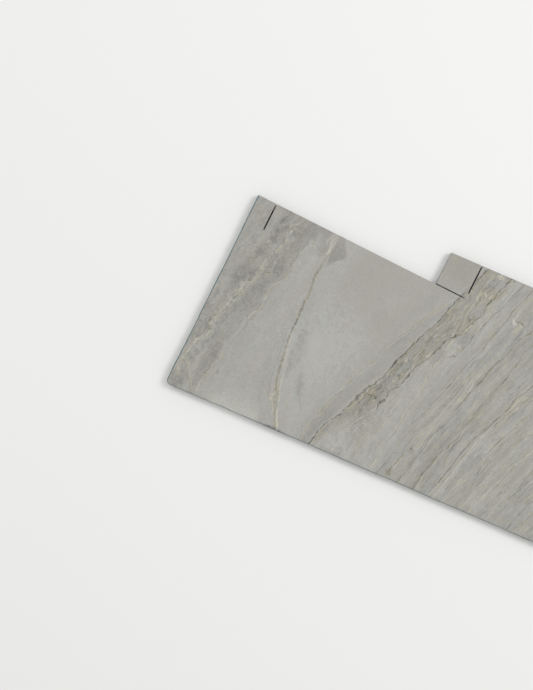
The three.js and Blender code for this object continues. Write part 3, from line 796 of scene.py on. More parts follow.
TREMBLE = BedLaw("how shaken the stone is, by its place square to the beds in mm", (
    (0, 1.0), (240, 1.0), (310, 0.25), (480, 0.28), (540, 0.62), (680, 0.62), (760, 0.30), (860, 0.20),
    (1500, 0.17)))
CALM = BedLaw("how free the stone is to shake, least at the main vein, by its place along the slab in mm", (
    (0, 0.85), (200, 0.95), (290, 0.60), (325, 0.16), (450, 0.16), (540, 1.0), (1500, 1.0)))


@dataclass(frozen=True)
class Grain:
    """One layer of lighter and darker grain.

    Args:
        size: Size of its features in mm: across the beds, up the slab and down through it.
        amount: How far it moves the stone's tone.
        law: What sets its strength from bed to bed, or None where it is the same all over.
        banded: Whether it follows the beds.
    """

    size: Triple
    amount: float
    law: BedLaw | None = None
    banded: bool = True


GRAINS = (
    Grain((70, 110, 60), 0.40, banded=False),
    Grain((30, 46, 30), 0.60, MOTTLES, banded=False),
    Grain((11, 17, 12), 0.80, MOTTLES, banded=False),
    Grain((5.5, 6.5, 5.5), 0.45, banded=False),
    Grain((3.4, 4.2, 3.4), 0.45, banded=False),
    Grain((42, 460, 200), 1.15, STREAKS),
    Grain((15, 190, 90), 0.90, STREAKS),
    Grain((5.0, 85, 40), 0.85, STREAKS),
)


@dataclass(frozen=True)
class Stain:
    """Places where the stone takes on another colour.

    Args:
        colour: The colour as sRGB hex.
        size: Size of the places in mm: across the beds, up the slab and down through it.
        levels: The values of noise between which the stain comes in.
        most: How strong it is at most.
        shift: Moves the noise through the stone.
        banded: Whether it follows the beds.
    """

    colour: str
    size: Triple
    levels: Pair
    most: float
    shift: float = 0.0
    banded: bool = False


WARM_STREAKS = Stain(WARM_STONE, (22, 160, 60), (0.35, 0.70), 0.30, banded=True)
FLECKS = (
    Stain(WARM_STONE, (9, 11, 9), (0.38, 0.68), 0.34, 7.0),
    Stain(DARK_STONE, (4.2, 5.0, 4.2), (0.38, 0.68), 0.22, 7.0),
)


@dataclass(frozen=True)
class Thread:
    """A family of thin lines that run where one noise passes a value.

    Args:
        tint: Their colour.
        size: Size of the noise's features in mm: across the beds, up the slab and down through it.
        levels: The values of the noise between which a line lies, with its middle between them.
        strength: How strong a line is in its middle.
        law: What sets their strength from bed to bed.
        shift: Moves the noise, so that two families don't run together.
        bundle: How much of them the dark bundle adds.
    """

    tint: Tint
    size: Triple
    levels: Pair
    strength: float
    law: BedLaw
    shift: float = 0.0
    bundle: float = 0.0


THREAD_FAMILIES = (
    Thread(Tint.SMOKE, (7.0, 190, 60), (0.36, 0.46), 0.65, THREADS),
    Thread(Tint.GOLD, (7.0, 190, 60), (0.52, 0.58), 0.55, THREADS),
    Thread(Tint.PALE, (9.0, 240, 60), (0.55, 0.62), 0.70, THREADS, 40.0),
    Thread(Tint.BROWN, (12.0, 160, 60), (0.385, 0.42), 0.55, THREADS, 90.0),
    Thread(Tint.SMOKE, (17, 24, 18), (0.36, 0.46), 0.75, LACE, 30.0),
    Thread(Tint.BROWN, (22, 42, 24), (0.462, 0.490), 0.60, LACE, 10.0),
    Thread(Tint.PALE, (22, 42, 24), (0.488, 0.525), 0.65, LACE, 10.0),
    Thread(Tint.PALE, (15, 36, 20), (0.560, 0.600), 0.55, LACE, 60.0),
    Thread(Tint.BROWN, (9, 48, 12), (0.36, 0.465), 0.75, BUNDLE_ONLY, 120.0, 1.3),
    Thread(Tint.GOLD, (8, 50, 12), (0.50, 0.60), 0.85, BUNDLE_ONLY, 120.0, 1.3),
    Thread(Tint.DARK, (12, 44, 12), (0.44, 0.48), 0.80, BUNDLE_ONLY, 150.0, 1.1),
    Thread(Tint.PALE, (9, 60, 12), (0.53, 0.62), 1.0, BUNDLE_ONLY, 180.0, 1.5),
)


@dataclass
class StonePattern:
    """The stone's colour all through its thickness, as one node group that every finish uses.

    Sizes are in mm, apart from the corner, which is in metres.

    Args:
        corner: The lower left corner of the factory edges.
        thickness: The slab's thickness.
        slant: How far the beds lean through the thickness, along for each mm down.
        lean: How far the beds lean to the right on the slab, along for each mm up.
        tremble: Size of the shakes in the beds and veins.
        tremor: How far a shake moves them, along and up.
        depth: How far a vein's gaps and knots go down through the stone.
        knotting: The values of noise between which a vein goes from narrow to wide.
        drift: Size of the places where a vein keeps its colour.
        drifting: The values of noise between which it goes from its usual colour to the other.
        coming: Size of the places where threads come and go, across the beds, up and down.
        fading: The values of noise between which threads come in.
        tatter: Size of the tatters at a patch's edge.
        raggedness: How far they go out and in, as a share of the patch's reach.
        smoke: How strong the dark bundle's smoke is.
    """

    corner: Vector
    thickness: float = 30.0
    slant: float = 0.35
    lean: float = 0.38
    tremble: float = 15.0
    tremor: Triple = (24.0, 19.0, 0.0)
    depth: float = 30.0
    knotting: Pair = (0.32, 0.68)
    drift: Triple = (20, 26, 20)
    drifting: Pair = (0.35, 0.65)
    coming: Triple = (24, 60, 30)
    fading: Pair = (0.40, 0.60)
    tatter: Triple = (12, 15, 20)
    raggedness: float = 1.6
    smoke: float = 0.55
    tree: Tree = field(init=False)

    def grain(self, spot: Socket, size: Triple, detail: float = 3.0, shift: float = 0.0,
              bed: Socket | None = None) -> Socket:
        """Makes noise with features of a given size.

        Args:
            spot: Output with the point's place in mm.
            size: Size of the features in mm: along or across the beds, up the slab, and down through it.
            detail: How many finer layers it has.
            shift: Moves the noise through the stone.
            bed: Output with the bed coordinate as a share of SPAN, for noise that follows the beds.

        Returns:
            The output, about 0.5 on average.
        """
        scale = [1 / reach for reach in size]
        across = 0.0
        if bed:
            across = add_node(self.tree, "Math", [bed, SPAN * scale[0]], operation="MULTIPLY").outputs[0]
            scale[0] = 0.0
        scaled = add_node(self.tree, "Mapping",
                          {"Vector": spot, "Location": (shift, shift, shift), "Scale": scale})
        node = add_node(self.tree, "TexNoise",
                        {0: scaled, 1: across, "Scale": 1.0, "Detail": detail, "Roughness": 0.55},
                        noise_dimensions="4D" if bed else "3D")
        return node.outputs["Fac"]

    def plan(self) -> Socket:
        """Finds a point's place in the stone.

        Returns:
            The output with its place in mm from the factory corner, with the beds' slant taken out.
        """
        coords = add_node(self.tree, "TexCoord")
        shift = [-c / MM for c in self.corner]
        shift[0] += self.slant * self.thickness
        spot = add_node(self.tree, "Mapping",
                        {"Vector": coords.outputs["Object"], "Location": shift, "Scale": (1 / MM,) * 3})
        x, y, z = add_node(self.tree, "SeparateXYZ", [spot]).outputs
        along = add_node(self.tree, "Math", [z, -self.slant, x], operation="MULTIPLY_ADD")
        joined = add_node(self.tree, "CombineXYZ", [along, y, z])
        return joined.outputs[0]

    def shaken(self, spot: Socket) -> Socket:
        """Shakes a place so that what is drawn there isn't smooth, most at the left and in the dark bundle.

        Args:
            spot: Output with the point's place in mm.

        Returns:
            The output with the shaken place.
        """
        tree = self.tree
        x, y, _ = add_node(tree, "SeparateXYZ", [spot]).outputs
        square = add_node(tree, "Math", [y, -self.lean, x], operation="MULTIPLY_ADD")
        amounts = []
        for law, coordinate in ((TREMBLE, square), (CALM, x)):
            share = add_node(tree, "Math", [coordinate, SPAN], operation="DIVIDE")
            amounts.append(law.read(tree, share.outputs[0]))
        amount = add_node(tree, "Math", amounts, operation="MULTIPLY")
        scaled = add_node(tree, "Mapping", {"Vector": spot, "Scale": (1 / self.tremble,) * 3})
        shake = add_node(tree, "TexNoise", {"Vector": scaled, "Scale": 1.0, "Detail": 3.0, "Roughness": 0.5})
        centred = add_node(tree, "VectorMath", [shake.outputs["Color"], (0.5,) * 3], operation="SUBTRACT")
        reach = add_node(tree, "VectorMath", {0: self.tremor, "Scale": amount}, operation="SCALE")
        moved = add_node(tree, "VectorMath", [centred, reach, spot], operation="MULTIPLY_ADD")
        return moved.outputs[0]

    def place(self, spot: Socket) -> Place:
        """Gathers what the veins need to know of a point.

        Args:
            spot: Output with the point's place in mm.

        Returns:
            The shared outputs.
        """
        x, y, _ = add_node(self.tree, "SeparateXYZ", [spot]).outputs
        along = add_node(self.tree, "Math", [x, SPAN], operation="DIVIDE")
        up = add_node(self.tree, "Math", [y, SPAN], operation="DIVIDE")
        whole, width = {}, {}
        for number, line in enumerate(Line):
            habit = line.value
            shift = 11.0 * number  # so that no two habits have their gaps and knots in the same places
            gaps = self.grain(spot, (*habit.gaps, self.depth), 2.0, shift)
            gaps = add_node(self.tree, "MapRange", [gaps, *habit.closing, habit.faint, 1.0], **SMOOTH)
            knots = self.grain(spot, (*habit.knots, self.depth), 2.0, shift + 5.0)
            knots = add_node(self.tree, "MapRange",
                             [knots, *self.knotting, habit.narrow, habit.wide], **SMOOTH)
            whole[line], width[line] = gaps.outputs[0], knots.outputs[0]
        return Place(along.outputs[0], up.outputs[0], whole, width)

    def beds(self, place: Place) -> Socket:
        """Joins the guides into one coordinate that goes from bed to bed across the slab.

        Args:
            place: Where a point lies.

        Returns:
            The output with the bed coordinate, as a share of SPAN.
        """
        tree = self.tree
        routes = [vein.route(tree, place) for vein, _ in GUIDES]
        marks = [mark / SPAN for _, mark in GUIDES]
        ends = []
        for route, bound in ((routes[0], "MINIMUM"), (routes[-1], "MAXIMUM")):
            past = add_node(tree, "Math", [place.along, route], operation="SUBTRACT")
            ends.append(add_node(tree, "Math", [past, 0.0], operation=bound))
        total = add_node(tree, "Math", [ends[0], marks[0]], operation="ADD")
        total = add_node(tree, "Math", [total, ends[1]], operation="ADD")
        for left, right, start, end in zip(routes, routes[1:], marks, marks[1:]):
            step = add_node(tree, "MapRange", [place.along, left, right, 0.0, end - start], clamp=False)
            for bound, value in (("MAXIMUM", 0.0), ("MINIMUM", end - start)):
                step = add_node(tree, "Math", [step, value], operation=bound)
            total = add_node(tree, "Math", [total, step], operation="ADD")
        return total.outputs[0]

    def tone(self, bed: Socket, spot: Socket) -> Socket:
        """Works out how light the plain stone is at a point.

        Args:
            bed: Output with the bed coordinate as a share of SPAN.
            spot: Output with the point's place in mm.

        Returns:
            The output, from 0 for dark stone to 1 for light stone.
        """
        tree = self.tree
        total = TONES.read(tree, bed)
        for grain in GRAINS:
            layer = self.grain(spot, grain.size, bed=bed if grain.banded else None)
            layer = add_node(tree, "Math", [layer, 0.5], operation="SUBTRACT")
            strength = grain.law.read(tree, bed) if grain.law else 1.0
            layer = add_node(tree, "Math", [layer, strength], operation="MULTIPLY")
            total = add_node(tree, "Math", [layer, grain.amount, total], operation="MULTIPLY_ADD")
        return total.outputs[0]

    def tints(self, spot: Socket) -> dict[Tint, Socket]:
        """Makes each tint drift between its two colours along the veins.

        Args:
            spot: Output with the point's place in mm.

        Returns:
            For each tint, the output with its colour.
        """
        drift = add_node(self.tree, "MapRange", [self.grain(spot, self.drift), *self.drifting], **SMOOTH)
        colours = {}
        for tint in Tint:
            mixed = add_node(self.tree, "Mix", {MIX_FACTOR: drift, MIX_A: linear(tint.usual),
                                                MIX_B: linear(tint.other)}, data_type="RGBA")
            colours[tint] = mixed.outputs[MIX_RESULT]
        return colours

    def stain(self, stain: Stain, bed: Socket, spot: Socket) -> Socket:
        """Works out how much of a stain there is at a point.

        Args:
            stain: The stain.
            bed: Output with the bed coordinate as a share of SPAN.
            spot: Output with the point's place in mm.

        Returns:
            The output that goes from 0 to the stain's greatest strength.
        """
        value = self.grain(spot, stain.size, shift=stain.shift, bed=bed if stain.banded else None)
        share = add_node(self.tree, "MapRange", [value, *stain.levels, 0.0, stain.most], **SMOOTH)
        return share.outputs[0]

    def thread(self, family: Thread, bed: Socket, spot: Socket, bundle: Socket) -> Socket:
        """Works out how much there is of a family of threads at a point.

        Args:
            family: The family.
            bed: Output with the bed coordinate as a share of SPAN.
            spot: Output with the point's place in mm.
            bundle: Output with how much of the dark bundle there is.

        Returns:
            The output that goes from 0 off a line to its strength in its middle.
        """
        tree = self.tree
        value = self.grain(spot, family.size, 3.0, family.shift, bed)
        low, high = family.levels
        line = add_node(tree, "FloatCurve", {"Value": value}, label="threads")
        draw_curve(line, [(0, 0), (low, 0), ((low + high) / 2, 1), (high, 0), (1, 0)])
        there = family.law.read(tree, bed)
        if family.bundle:
            there = add_node(tree, "Math", [bundle, family.bundle, there], operation="MULTIPLY_ADD")
        come = self.grain(spot, self.coming, 2.0, family.shift + 3.0, bed)
        come = add_node(tree, "MapRange", [come, *self.fading, 0.0, family.strength], **SMOOTH)
        share = add_node(tree, "Math", [line, come], operation="MULTIPLY")
        return add_node(tree, "Math", [share, there], operation="MULTIPLY").outputs[0]

    def layers(self, plain: Socket, spot: Socket) -> Iterator[tuple[Socket, Colour, bool]]:
        """Gives the stone's layers of colour from the lowest up.

        Each is made only when the one below is in place, because Cycles has room for few outputs that wait.

        Args:
            plain: Output with the point's place in mm.
            spot: Output with the shaken place in mm.

        Yields:
            How much of the layer there is at a point, its colour, and whether it is open and dark.
        """
        tree = self.tree
        place = self.place(spot)
        bed = self.beds(place)
        yield self.tone(bed, spot), linear(LIGHT_STONE), False
        yield self.stain(WARM_STREAKS, bed, spot), linear(WARM_STREAKS.colour), False
        bundle = BUNDLE.mask(tree, place)
        smoke = add_node(tree, "Math", [bundle, 2.0], operation="POWER")
        smoke = add_node(tree, "Math", [smoke, self.smoke], operation="MULTIPLY")
        yield smoke.outputs[0], linear(BUNDLE.colour), False
        for bank in BANKS:
            yield bank.mask(tree, place), linear(bank.colour), False
        for fleck in FLECKS:
            yield self.stain(fleck, bed, spot), linear(fleck.colour), False
        tints = self.tints(spot)
        for family in THREAD_FAMILIES:
            yield self.thread(family, bed, spot, bundle), tints[family.tint], False
        tatters = self.grain(plain, self.tatter, 5.0)
        ragged = add_node(tree, "Math", [tatters, 2 * self.raggedness, -self.raggedness],
                          operation="MULTIPLY_ADD")
        for patch in PATCHES:
            yield patch.mask(tree, plain, ragged.outputs[0]), linear(patch.colour), False
        for vein in (*VEINS, *(guide for guide, _ in GUIDES)):
            yield vein.mask(tree, place), tints[vein.tint], vein.tint in (Tint.DARK, Tint.BROWN)

    def build(self) -> Tree:
        """Draws the whole pattern.

        Returns:
            The finished node group.
        """
        tree = self.tree = bpy.data.node_groups.new("banded quartzite", "ShaderNodeTree")
        for name, kind in (("Colour", "NodeSocketColor"), ("Dark", "NodeSocketFloat"),
                           ("Spot", "NodeSocketVector")):
            tree.interface.new_socket(name=name, in_out="OUTPUT", socket_type=kind)
        plain = self.plan()
        colour, dark = linear(DARK_STONE), 0.0
        for share, above, is_open in self.layers(plain, self.shaken(plain)):
            mixed = add_node(tree, "Mix", {MIX_FACTOR: share, MIX_A: colour, MIX_B: above}, data_type="RGBA")
            colour = mixed.outputs[MIX_RESULT]
            if is_open:
                dark = add_node(tree, "Math", [share, dark], operation="MAXIMUM").outputs[0]
        fill(tree, tree.nodes.new("NodeGroupOutput"), {"Colour": colour, "Dark": dark, "Spot": plain})
        log.info("stone pattern: %d nodes", len(tree.nodes))
        return tree


@dataclass(frozen=True)
class Finish:
    """A finish of the quartzite, which shows the pattern that runs through the stone.

    Quartzite is nearly all quartz and has its IOR.

    Args:
        name: The material's name.
        roughness: The surface's roughness.
        ior: The stone's IOR.
    """

    name: str = "quartzite"
    roughness: float = 0.5
    ior: float = 1.54

    def surface(self, tree: Tree, stone: Node) -> dict[str, Socket]:
        """Draws what the finish does to the stone.

        Args:
            tree: The material's node tree.
            stone: The stone's pattern in that tree.

        Returns:
            For the name of an input of the shader, the output that it is linked to.
        """
        raise NotImplementedError

    def build(self, pattern: Tree) -> bpy.types.Material:
        """Makes the material.

        Args:
            pattern: The stone's node group.

        Returns:
            The material.
        """
        material = bpy.data.materials.new(self.name)
        material.use_nodes = True
        tree = material.node_tree
        stone = add_node(tree, "Group", node_tree=pattern)
        fill(tree, tree.nodes["Principled BSDF"],
             {"Roughness": self.roughness, "IOR": self.ior, **self.surface(tree, stone)})
        return material


@dataclass(frozen=True)
class PolishedStone(Finish):
    """Quartzite ground with finer and finer diamond and buffed to a low mirror.

    The polish deepens the stone's colour and gives it a clear, slightly soft reflection. The open dark veins
    don't take the polish, so they stay dull and a little pitted.
    """

    name: str = "polished quartzite"
    roughness: float = 0.16
    vein_roughness: float = 0.42
    pit: float = 2.5  # mm across
    pit_depth: float = 0.15  # mm

    def surface(self, tree: Tree, stone: Node) -> dict[str, Socket]:
        """Draws the finish.

        Args:
            tree: The material's node tree.
            stone: The stone's pattern in that tree.

        Returns:
            For the name of an input of the shader, the output that it is linked to.
        """
        spot = stone.outputs["Spot"]
        dark = stone.outputs["Dark"]
        rough = add_node(tree, "MapRange", [dark, 0.0, 1.0, self.roughness, self.vein_roughness])
        pits = add_node(tree, "TexNoise", {"Vector": spot, "Scale": 1 / self.pit, "Detail": 2.0})
        pits = add_node(tree, "Math", [dark, pits], operation="MULTIPLY")
        bump = add_node(tree, "Bump", {"Strength": 0.6, "Distance": self.pit_depth * MM, "Height": pits},
                        invert=True)
        return {"Base Color": stone.outputs["Colour"], "Roughness": rough.outputs[0],
                "Normal": bump.outputs[0]}


@dataclass(frozen=True)
class SawnStone(Finish):
    """Quartzite as a wet diamond blade leaves it.

    The cut is matt and a little lighter than the polish, with grey slurry dried on it in runs and the faint
    arcs of the blade. In a kerf the walls are painted nearly black: painted shade for the dark inside the
    deep, narrow slot.
    """

    name: str = "sawn quartzite"
    roughness: float = 0.78
    # Grey dried slurry on the sawn walls; the kerfs' finish sets it to near-black painted shade.
    slurry_and_shade: str = "#868c92"
    shares: Pair = (0.45, 0.85)  # least and most slurry; in a kerf, the share of painted shade
    run: Triple = (60.0, 60.0, 14.0)  # mm, size of the slurry's runs
    mark_spacing: float = 2.2  # mm between the blade's marks
    mark_length: float = 52.8  # mm
    mark_lean: float = math.radians(18)
    mark_depth: float = 0.12  # mm

    def surface(self, tree: Tree, stone: Node) -> dict[str, Socket]:
        """Draws the finish.

        Args:
            tree: The material's node tree.
            stone: The stone's pattern in that tree.

        Returns:
            For the name of an input of the shader, the output that it is linked to.
        """
        spot = stone.outputs["Spot"]
        wide = add_node(tree, "Mapping", {"Vector": spot, "Scale": [1 / size for size in self.run]})
        runs = add_node(tree, "TexNoise", {"Vector": wide, "Scale": 1.0, "Detail": 4.0})
        # How much of that colour covers the stone; on the kerf walls it is painted shade.
        dust = add_node(tree, "MapRange", [runs, *SPREAD, *self.shares])
        colour = add_node(tree, "Mix", {MIX_FACTOR: dust, MIX_A: stone.outputs["Colour"],
                                        MIX_B: linear(self.slurry_and_shade)}, data_type="RGBA")
        fine = 1 / self.mark_spacing
        turned = add_node(tree, "Mapping", {"Vector": spot, "Scale": (fine, fine, 1 / self.mark_length),
                                            "Rotation": (0.0, self.mark_lean, 0.0)})
        marks = add_node(tree, "TexNoise", {"Vector": turned, "Scale": 1.0, "Detail": 2.0, "Roughness": 0.4})
        bump = add_node(tree, "Bump", {"Strength": 0.7, "Distance": self.mark_depth * MM, "Height": marks})
        return {"Base Color": colour.outputs[MIX_RESULT], "Normal": bump.outputs[0]}


@dataclass(frozen=True)
class FactoryEdge(Finish):
    """The block's own rough face, soaked with the blue-green resin that ran over it before the polishing.

    The resin makes a darker, half-glossy film, thickest along the top, that breaks up into drips lower down
    and leaves dry rough stone between them. Along the lower edge it is drawn thinner, a painted lightening
    against the shade that falls beside that edge.
    """

    name: str = "resin-soaked rough quartzite"
    roughness: float = 0.42
    bare_roughness: float = 0.85
    resin: tuple[str, str] = ("#4a6670", "#5d7a80")  # thick and thin
    bare: str = "#9b9a92"
    bare_share: float = 0.45
    drip_width: float = 14.0  # mm
    drip_length: float = 56.0  # mm
    heights: Pair = (4.0, 27.0)  # mm up, where the resin is thinnest and thickest
    soaking: Pair = (-0.26, 0.30)  # what those heights add to the drips' noise
    film: Pair = (0.42, 0.60)  # the sums at which it is gone and whole
    most: float = 0.94  # how far the resin hides the stone
    lower_share: float = 0.55  # how much of that is drawn along the lower edge
    painted_lightening: Pair = (6.0, 24.0)  # mm across the slab, where the painted lightening along the lower edge ends
    pool: float = 9.0  # mm, size of the thick and thin places
    pooling: Pair = (0.35, 0.65)  # the noise where it is thick and thin
    lump: float = 3.5  # mm
    lump_depth: float = 0.9  # mm

    def surface(self, tree: Tree, stone: Node) -> dict[str, Socket]:
        """Draws the finish.

        Args:
            tree: The material's node tree.
            stone: The stone's pattern in that tree.

        Returns:
            For the name of an input of the shader, the output that it is linked to.
        """
        spot = stone.outputs["Spot"]
        dry = add_node(tree, "Mix", {MIX_FACTOR: self.bare_share, MIX_A: stone.outputs["Colour"],
                                     MIX_B: linear(self.bare)}, data_type="RGBA")
        narrow = 1 / self.drip_width
        long = add_node(tree, "Mapping",
                        {"Vector": spot, "Scale": (narrow, narrow, 1 / self.drip_length)})
        drips = add_node(tree, "TexNoise", {"Vector": long, "Scale": 1.0, "Detail": 5.0, "Roughness": 0.62})
        _, up, high = add_node(tree, "SeparateXYZ", [spot]).outputs
        high = add_node(tree, "MapRange", [high, *self.heights, *self.soaking])
        soaked = add_node(tree, "Math", [drips, high], operation="ADD")
        # Painted lightening: the resin is drawn thinner within a few cm of the lower edge.
        painted_lightening = add_node(tree, "MapRange", [up, *self.painted_lightening, self.most * self.lower_share, self.most])
        film = add_node(tree, "MapRange", [soaked, *self.film, 0.0, painted_lightening], **SMOOTH)
        pools = add_node(tree, "TexNoise",
                         {"Vector": spot, "Scale": 1 / self.pool, "Detail": 4.0, "Roughness": 0.6})
        thin = add_node(tree, "MapRange", [pools, *self.pooling])
        resin = add_node(tree, "Mix", {MIX_FACTOR: thin, MIX_A: linear(self.resin[0]),
                                       MIX_B: linear(self.resin[1])}, data_type="RGBA")
        colour = add_node(tree, "Mix", {MIX_FACTOR: film, MIX_A: dry.outputs[MIX_RESULT],
                                        MIX_B: resin.outputs[MIX_RESULT]}, data_type="RGBA")
        gloss = add_node(tree, "MapRange", [film, 0.0, 1.0, self.bare_roughness, self.roughness])
        lumps = add_node(tree, "TexNoise",
                         {"Vector": spot, "Scale": 1 / self.lump, "Detail": 5.0, "Roughness": 0.65})
        bump = add_node(tree, "Bump", {"Strength": 1.0, "Distance": self.lump_depth * MM, "Height": lumps})
        return {"Base Color": colour.outputs[MIX_RESULT], "Roughness": gloss.outputs[0],
                "Normal": bump.outputs[0]}


@dataclass(frozen=True)
class GroundUnderside(Finish):
    """The slab's back, ground flat by the gang saw and never polished.

    It is dry, pale and dusty, with long grinding lines, and the veins show only faintly through the dust.
    """

    name: str = "ground quartzite"
    roughness: float = 0.88
    dust: str = "#bdbdb7"
    shares: Pair = (0.35, 0.70)  # least and most dust
    cloud: float = 90.0  # mm, size of the dusty places
    line_spacing: float = 3.0  # mm, drawn wider than the real 1 mm so that it shows
    line_length: float = 180.0  # mm
    line_depth: float = 0.15  # mm

    def surface(self, tree: Tree, stone: Node) -> dict[str, Socket]:
        """Draws the finish.

        Args:
            tree: The material's node tree.
            stone: The stone's pattern in that tree.

        Returns:
            For the name of an input of the shader, the output that it is linked to.
        """
        spot = stone.outputs["Spot"]
        blotches = add_node(tree, "TexNoise", {"Vector": spot, "Scale": 1 / self.cloud, "Detail": 5.0})
        share = add_node(tree, "MapRange", [blotches, *SPREAD, *self.shares])
        colour = add_node(tree, "Mix", {MIX_FACTOR: share, MIX_A: stone.outputs["Colour"],
                                        MIX_B: linear(self.dust)}, data_type="RGBA")
        fine = 1 / self.line_spacing
        long = add_node(tree, "Mapping", {"Vector": spot, "Scale": (1 / self.line_length, fine, fine)})
        lines = add_node(tree, "TexNoise", {"Vector": long, "Scale": 1.0, "Detail": 2.0})
        bump = add_node(tree, "Bump", {"Strength": 0.5, "Distance": self.line_depth * MM, "Height": lines})
        return {"Base Color": colour.outputs[MIX_RESULT], "Normal": bump.outputs[0]}


class Face(Enum):
    """The slab's kinds of face, each with the number of its material slot."""

    POLISHED = 0
    SAWN = 1
    KERF = 2
    FACTORY = 3
    UNDERSIDE = 4


@dataclass(frozen=True)
class Kerf:
    """A saw kerf that runs into the slab past a corner.

    Args:
        mouth: Where it starts, in mm from the factory corner.
        turn: The way it runs, in radians from the lower factory edge.
        depth: How far it runs.
        width: How wide it is.
        end_slack: How far past its end a wall still counts as its own.
        side_slack: How far past its sides.
    """

    mouth: Vector
    turn: float
    depth: float
    width: float
    end_slack: float = 1.0
    side_slack: float = 0.2

    def holds(self, place: Vector) -> bool:
        """Tells whether a point lies in the kerf or on its walls.

        Args:
            place: The point in mm from the factory corner.

        Returns:
            Whether it does.
        """
        away = place.xy - self.mouth
        ahead = away.x * math.cos(self.turn) + away.y * math.sin(self.turn)
        aside = away.y * math.cos(self.turn) - away.x * math.sin(self.turn)
        return 0.0 < ahead < self.depth + self.end_slack and abs(aside) < self.width / 2 + self.side_slack


@dataclass
class SlabRemnant:
    """The remnant: the CAD solid's shape, with worn, chipped and rough edges.

    Sizes are in mm, apart from the corner and the tab's foot, which are in metres and follow the CAD node.
    """

    node: str = "slab"
    body: str = "root"
    slot: str = "polished_stone"
    thickness: float = 30.0
    lower_edge: float = 1524.0
    width: float = 840.5
    left_edge: float = 757.0
    left_turn: float = math.radians(3.05)  # how far the left edge leans to the right
    saw_turn: float = math.radians(3.4)  # how far the saw cuts are turned clockwise from the lower edge
    notch: float = 715.6  # from the upper left corner to the tab's foot
    corner_kerf: Triple = (73.6, 104.0, 5.0)  # from the notch's end, length, width
    floor_kerf: Pair = (115.0, 3.4)  # length, width
    tab_kerf: Triple = (120.0, 112.0, 5.0)  # from the tab's corner, length, width
    factory_depth: float = 9.0  # how far in from a factory edge its own faces lie
    arris: float = 0.45  # width of the broken edge
    arris_step: float = 5.0  # longest stretch of it between two of its points
    chip: float = 1.1  # deepest chips on the face, where the blade went in
    under_chip: float = 2.6  # deepest chips on the underside, where it broke out
    nibble: float = 9.0  # spacing of the small chips
    bite: float = 34.0  # spacing of the large ones
    rough: float = 0.6  # depth of the lumps and grit on the factory edges
    lump: float = 22.0  # spacing of the lumps
    grit: float = 6.0  # spacing of the grit
    wear: float = 1.6  # how far the top of the factory edges is worn at most
    worn_share: float = 0.15  # how much of their height that is
    worn_place: float = 17.0  # spacing of the worn places
    piece: bpy.types.Object | None = field(default=None, init=False)
    corner: Vector = field(init=False)
    along: Vector = field(init=False)
    tab_foot: Vector = field(init=False)
    kerfs: tuple[Kerf, ...] = field(init=False)

    def __post_init__(self) -> None:
        """Works out the lower left corner of the factory edges, the tab's foot, and where the kerfs are."""
        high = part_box(self.node)[1]
        reach = (self.lower_edge + self.width * math.tan(self.saw_turn)) * MM
        self.corner = Vector((high.x - reach, high.y - self.width * MM, 0.0))
        along = Vector((math.cos(self.saw_turn), -math.sin(self.saw_turn), 0.0))
        across = Vector((math.sin(self.saw_turn), math.cos(self.saw_turn), 0.0))
        upper_left = self.left_edge * Vector((math.sin(self.left_turn), math.cos(self.left_turn), 0.0))
        tab_foot = upper_left + self.notch * along
        tab_corner = tab_foot + (self.width - tab_foot.y) / across.y * across
        down = -self.saw_turn - math.pi / 2
        self.along, self.tab_foot = along, self.corner + tab_foot * MM
        from_end, *corner_kerf = self.corner_kerf
        from_tab, *tab_kerf = self.tab_kerf
        floor_middle = tab_foot + self.floor_kerf[1] / 2 * across
        self.kerfs = (Kerf((upper_left + from_end * along).xy, down, *corner_kerf),
                      Kerf(floor_middle.xy, -self.saw_turn, *self.floor_kerf),
                      Kerf(Vector((tab_corner.x + from_tab, self.width)), down, *tab_kerf))

    def select(self, mode: str, test: Callable[..., bool]) -> None:
        """Selects some of the piece's faces or edges.

        Args:
            mode: "FACE" or "EDGE".
            test: Says of one face or edge whether it is wanted.
        """
        bpy.ops.object.mode_set(mode="EDIT")
        bpy.ops.mesh.select_mode(type=mode)
        bpy.ops.mesh.select_all(action="DESELECT")
        bpy.ops.object.mode_set(mode="OBJECT")
        mesh = self.piece.data
        for item in mesh.polygons if mode == "FACE" else mesh.edges:
            if test(item):
                item.select = True

    def edit(self, operator: Callable[..., set[str]], **options: object) -> None:
        """Runs one edit-mode operator on what is selected.

        Args:
            operator: The operator.
            **options: What it is given.
        """
        bpy.ops.object.mode_set(mode="EDIT")
        operator(**options)
        bpy.ops.object.mode_set(mode="OBJECT")

    def start(self) -> None:
        """Makes the piece from a merged copy of the CAD node, with whole flat faces.

        The notch's long wall is parted where the kerf past its corner begins.
        """
        bpy.ops.object.select_all(action="DESELECT")
        self.piece = bpy.data.objects.new("stone_slab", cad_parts[self.node].data.copy())
        bpy.context.collection.objects.link(self.piece)
        self.piece.select_set(True)
        bpy.context.view_layer.objects.active = self.piece
        self.select("FACE", lambda face: True)
        self.edit(bpy.ops.mesh.remove_doubles, threshold=0.01 * MM)
        self.edit(bpy.ops.mesh.dissolve_limited, angle_limit=math.radians(0.4))
        across = Vector((-self.along.y, self.along.x, 0.0))
        self.select("FACE", lambda face: face.normal.dot(across) > 0.99
                    and abs((face.center - self.tab_foot).dot(across)) < MM)
        self.edit(bpy.ops.mesh.bisect, plane_co=self.tab_foot, plane_no=self.along)
        self.piece.data.materials.clear()
        for _ in Face:
            self.piece.data.materials.append(None)
        log.info("%s: %d faces after merging", self.piece.name, len(self.piece.data.polygons))

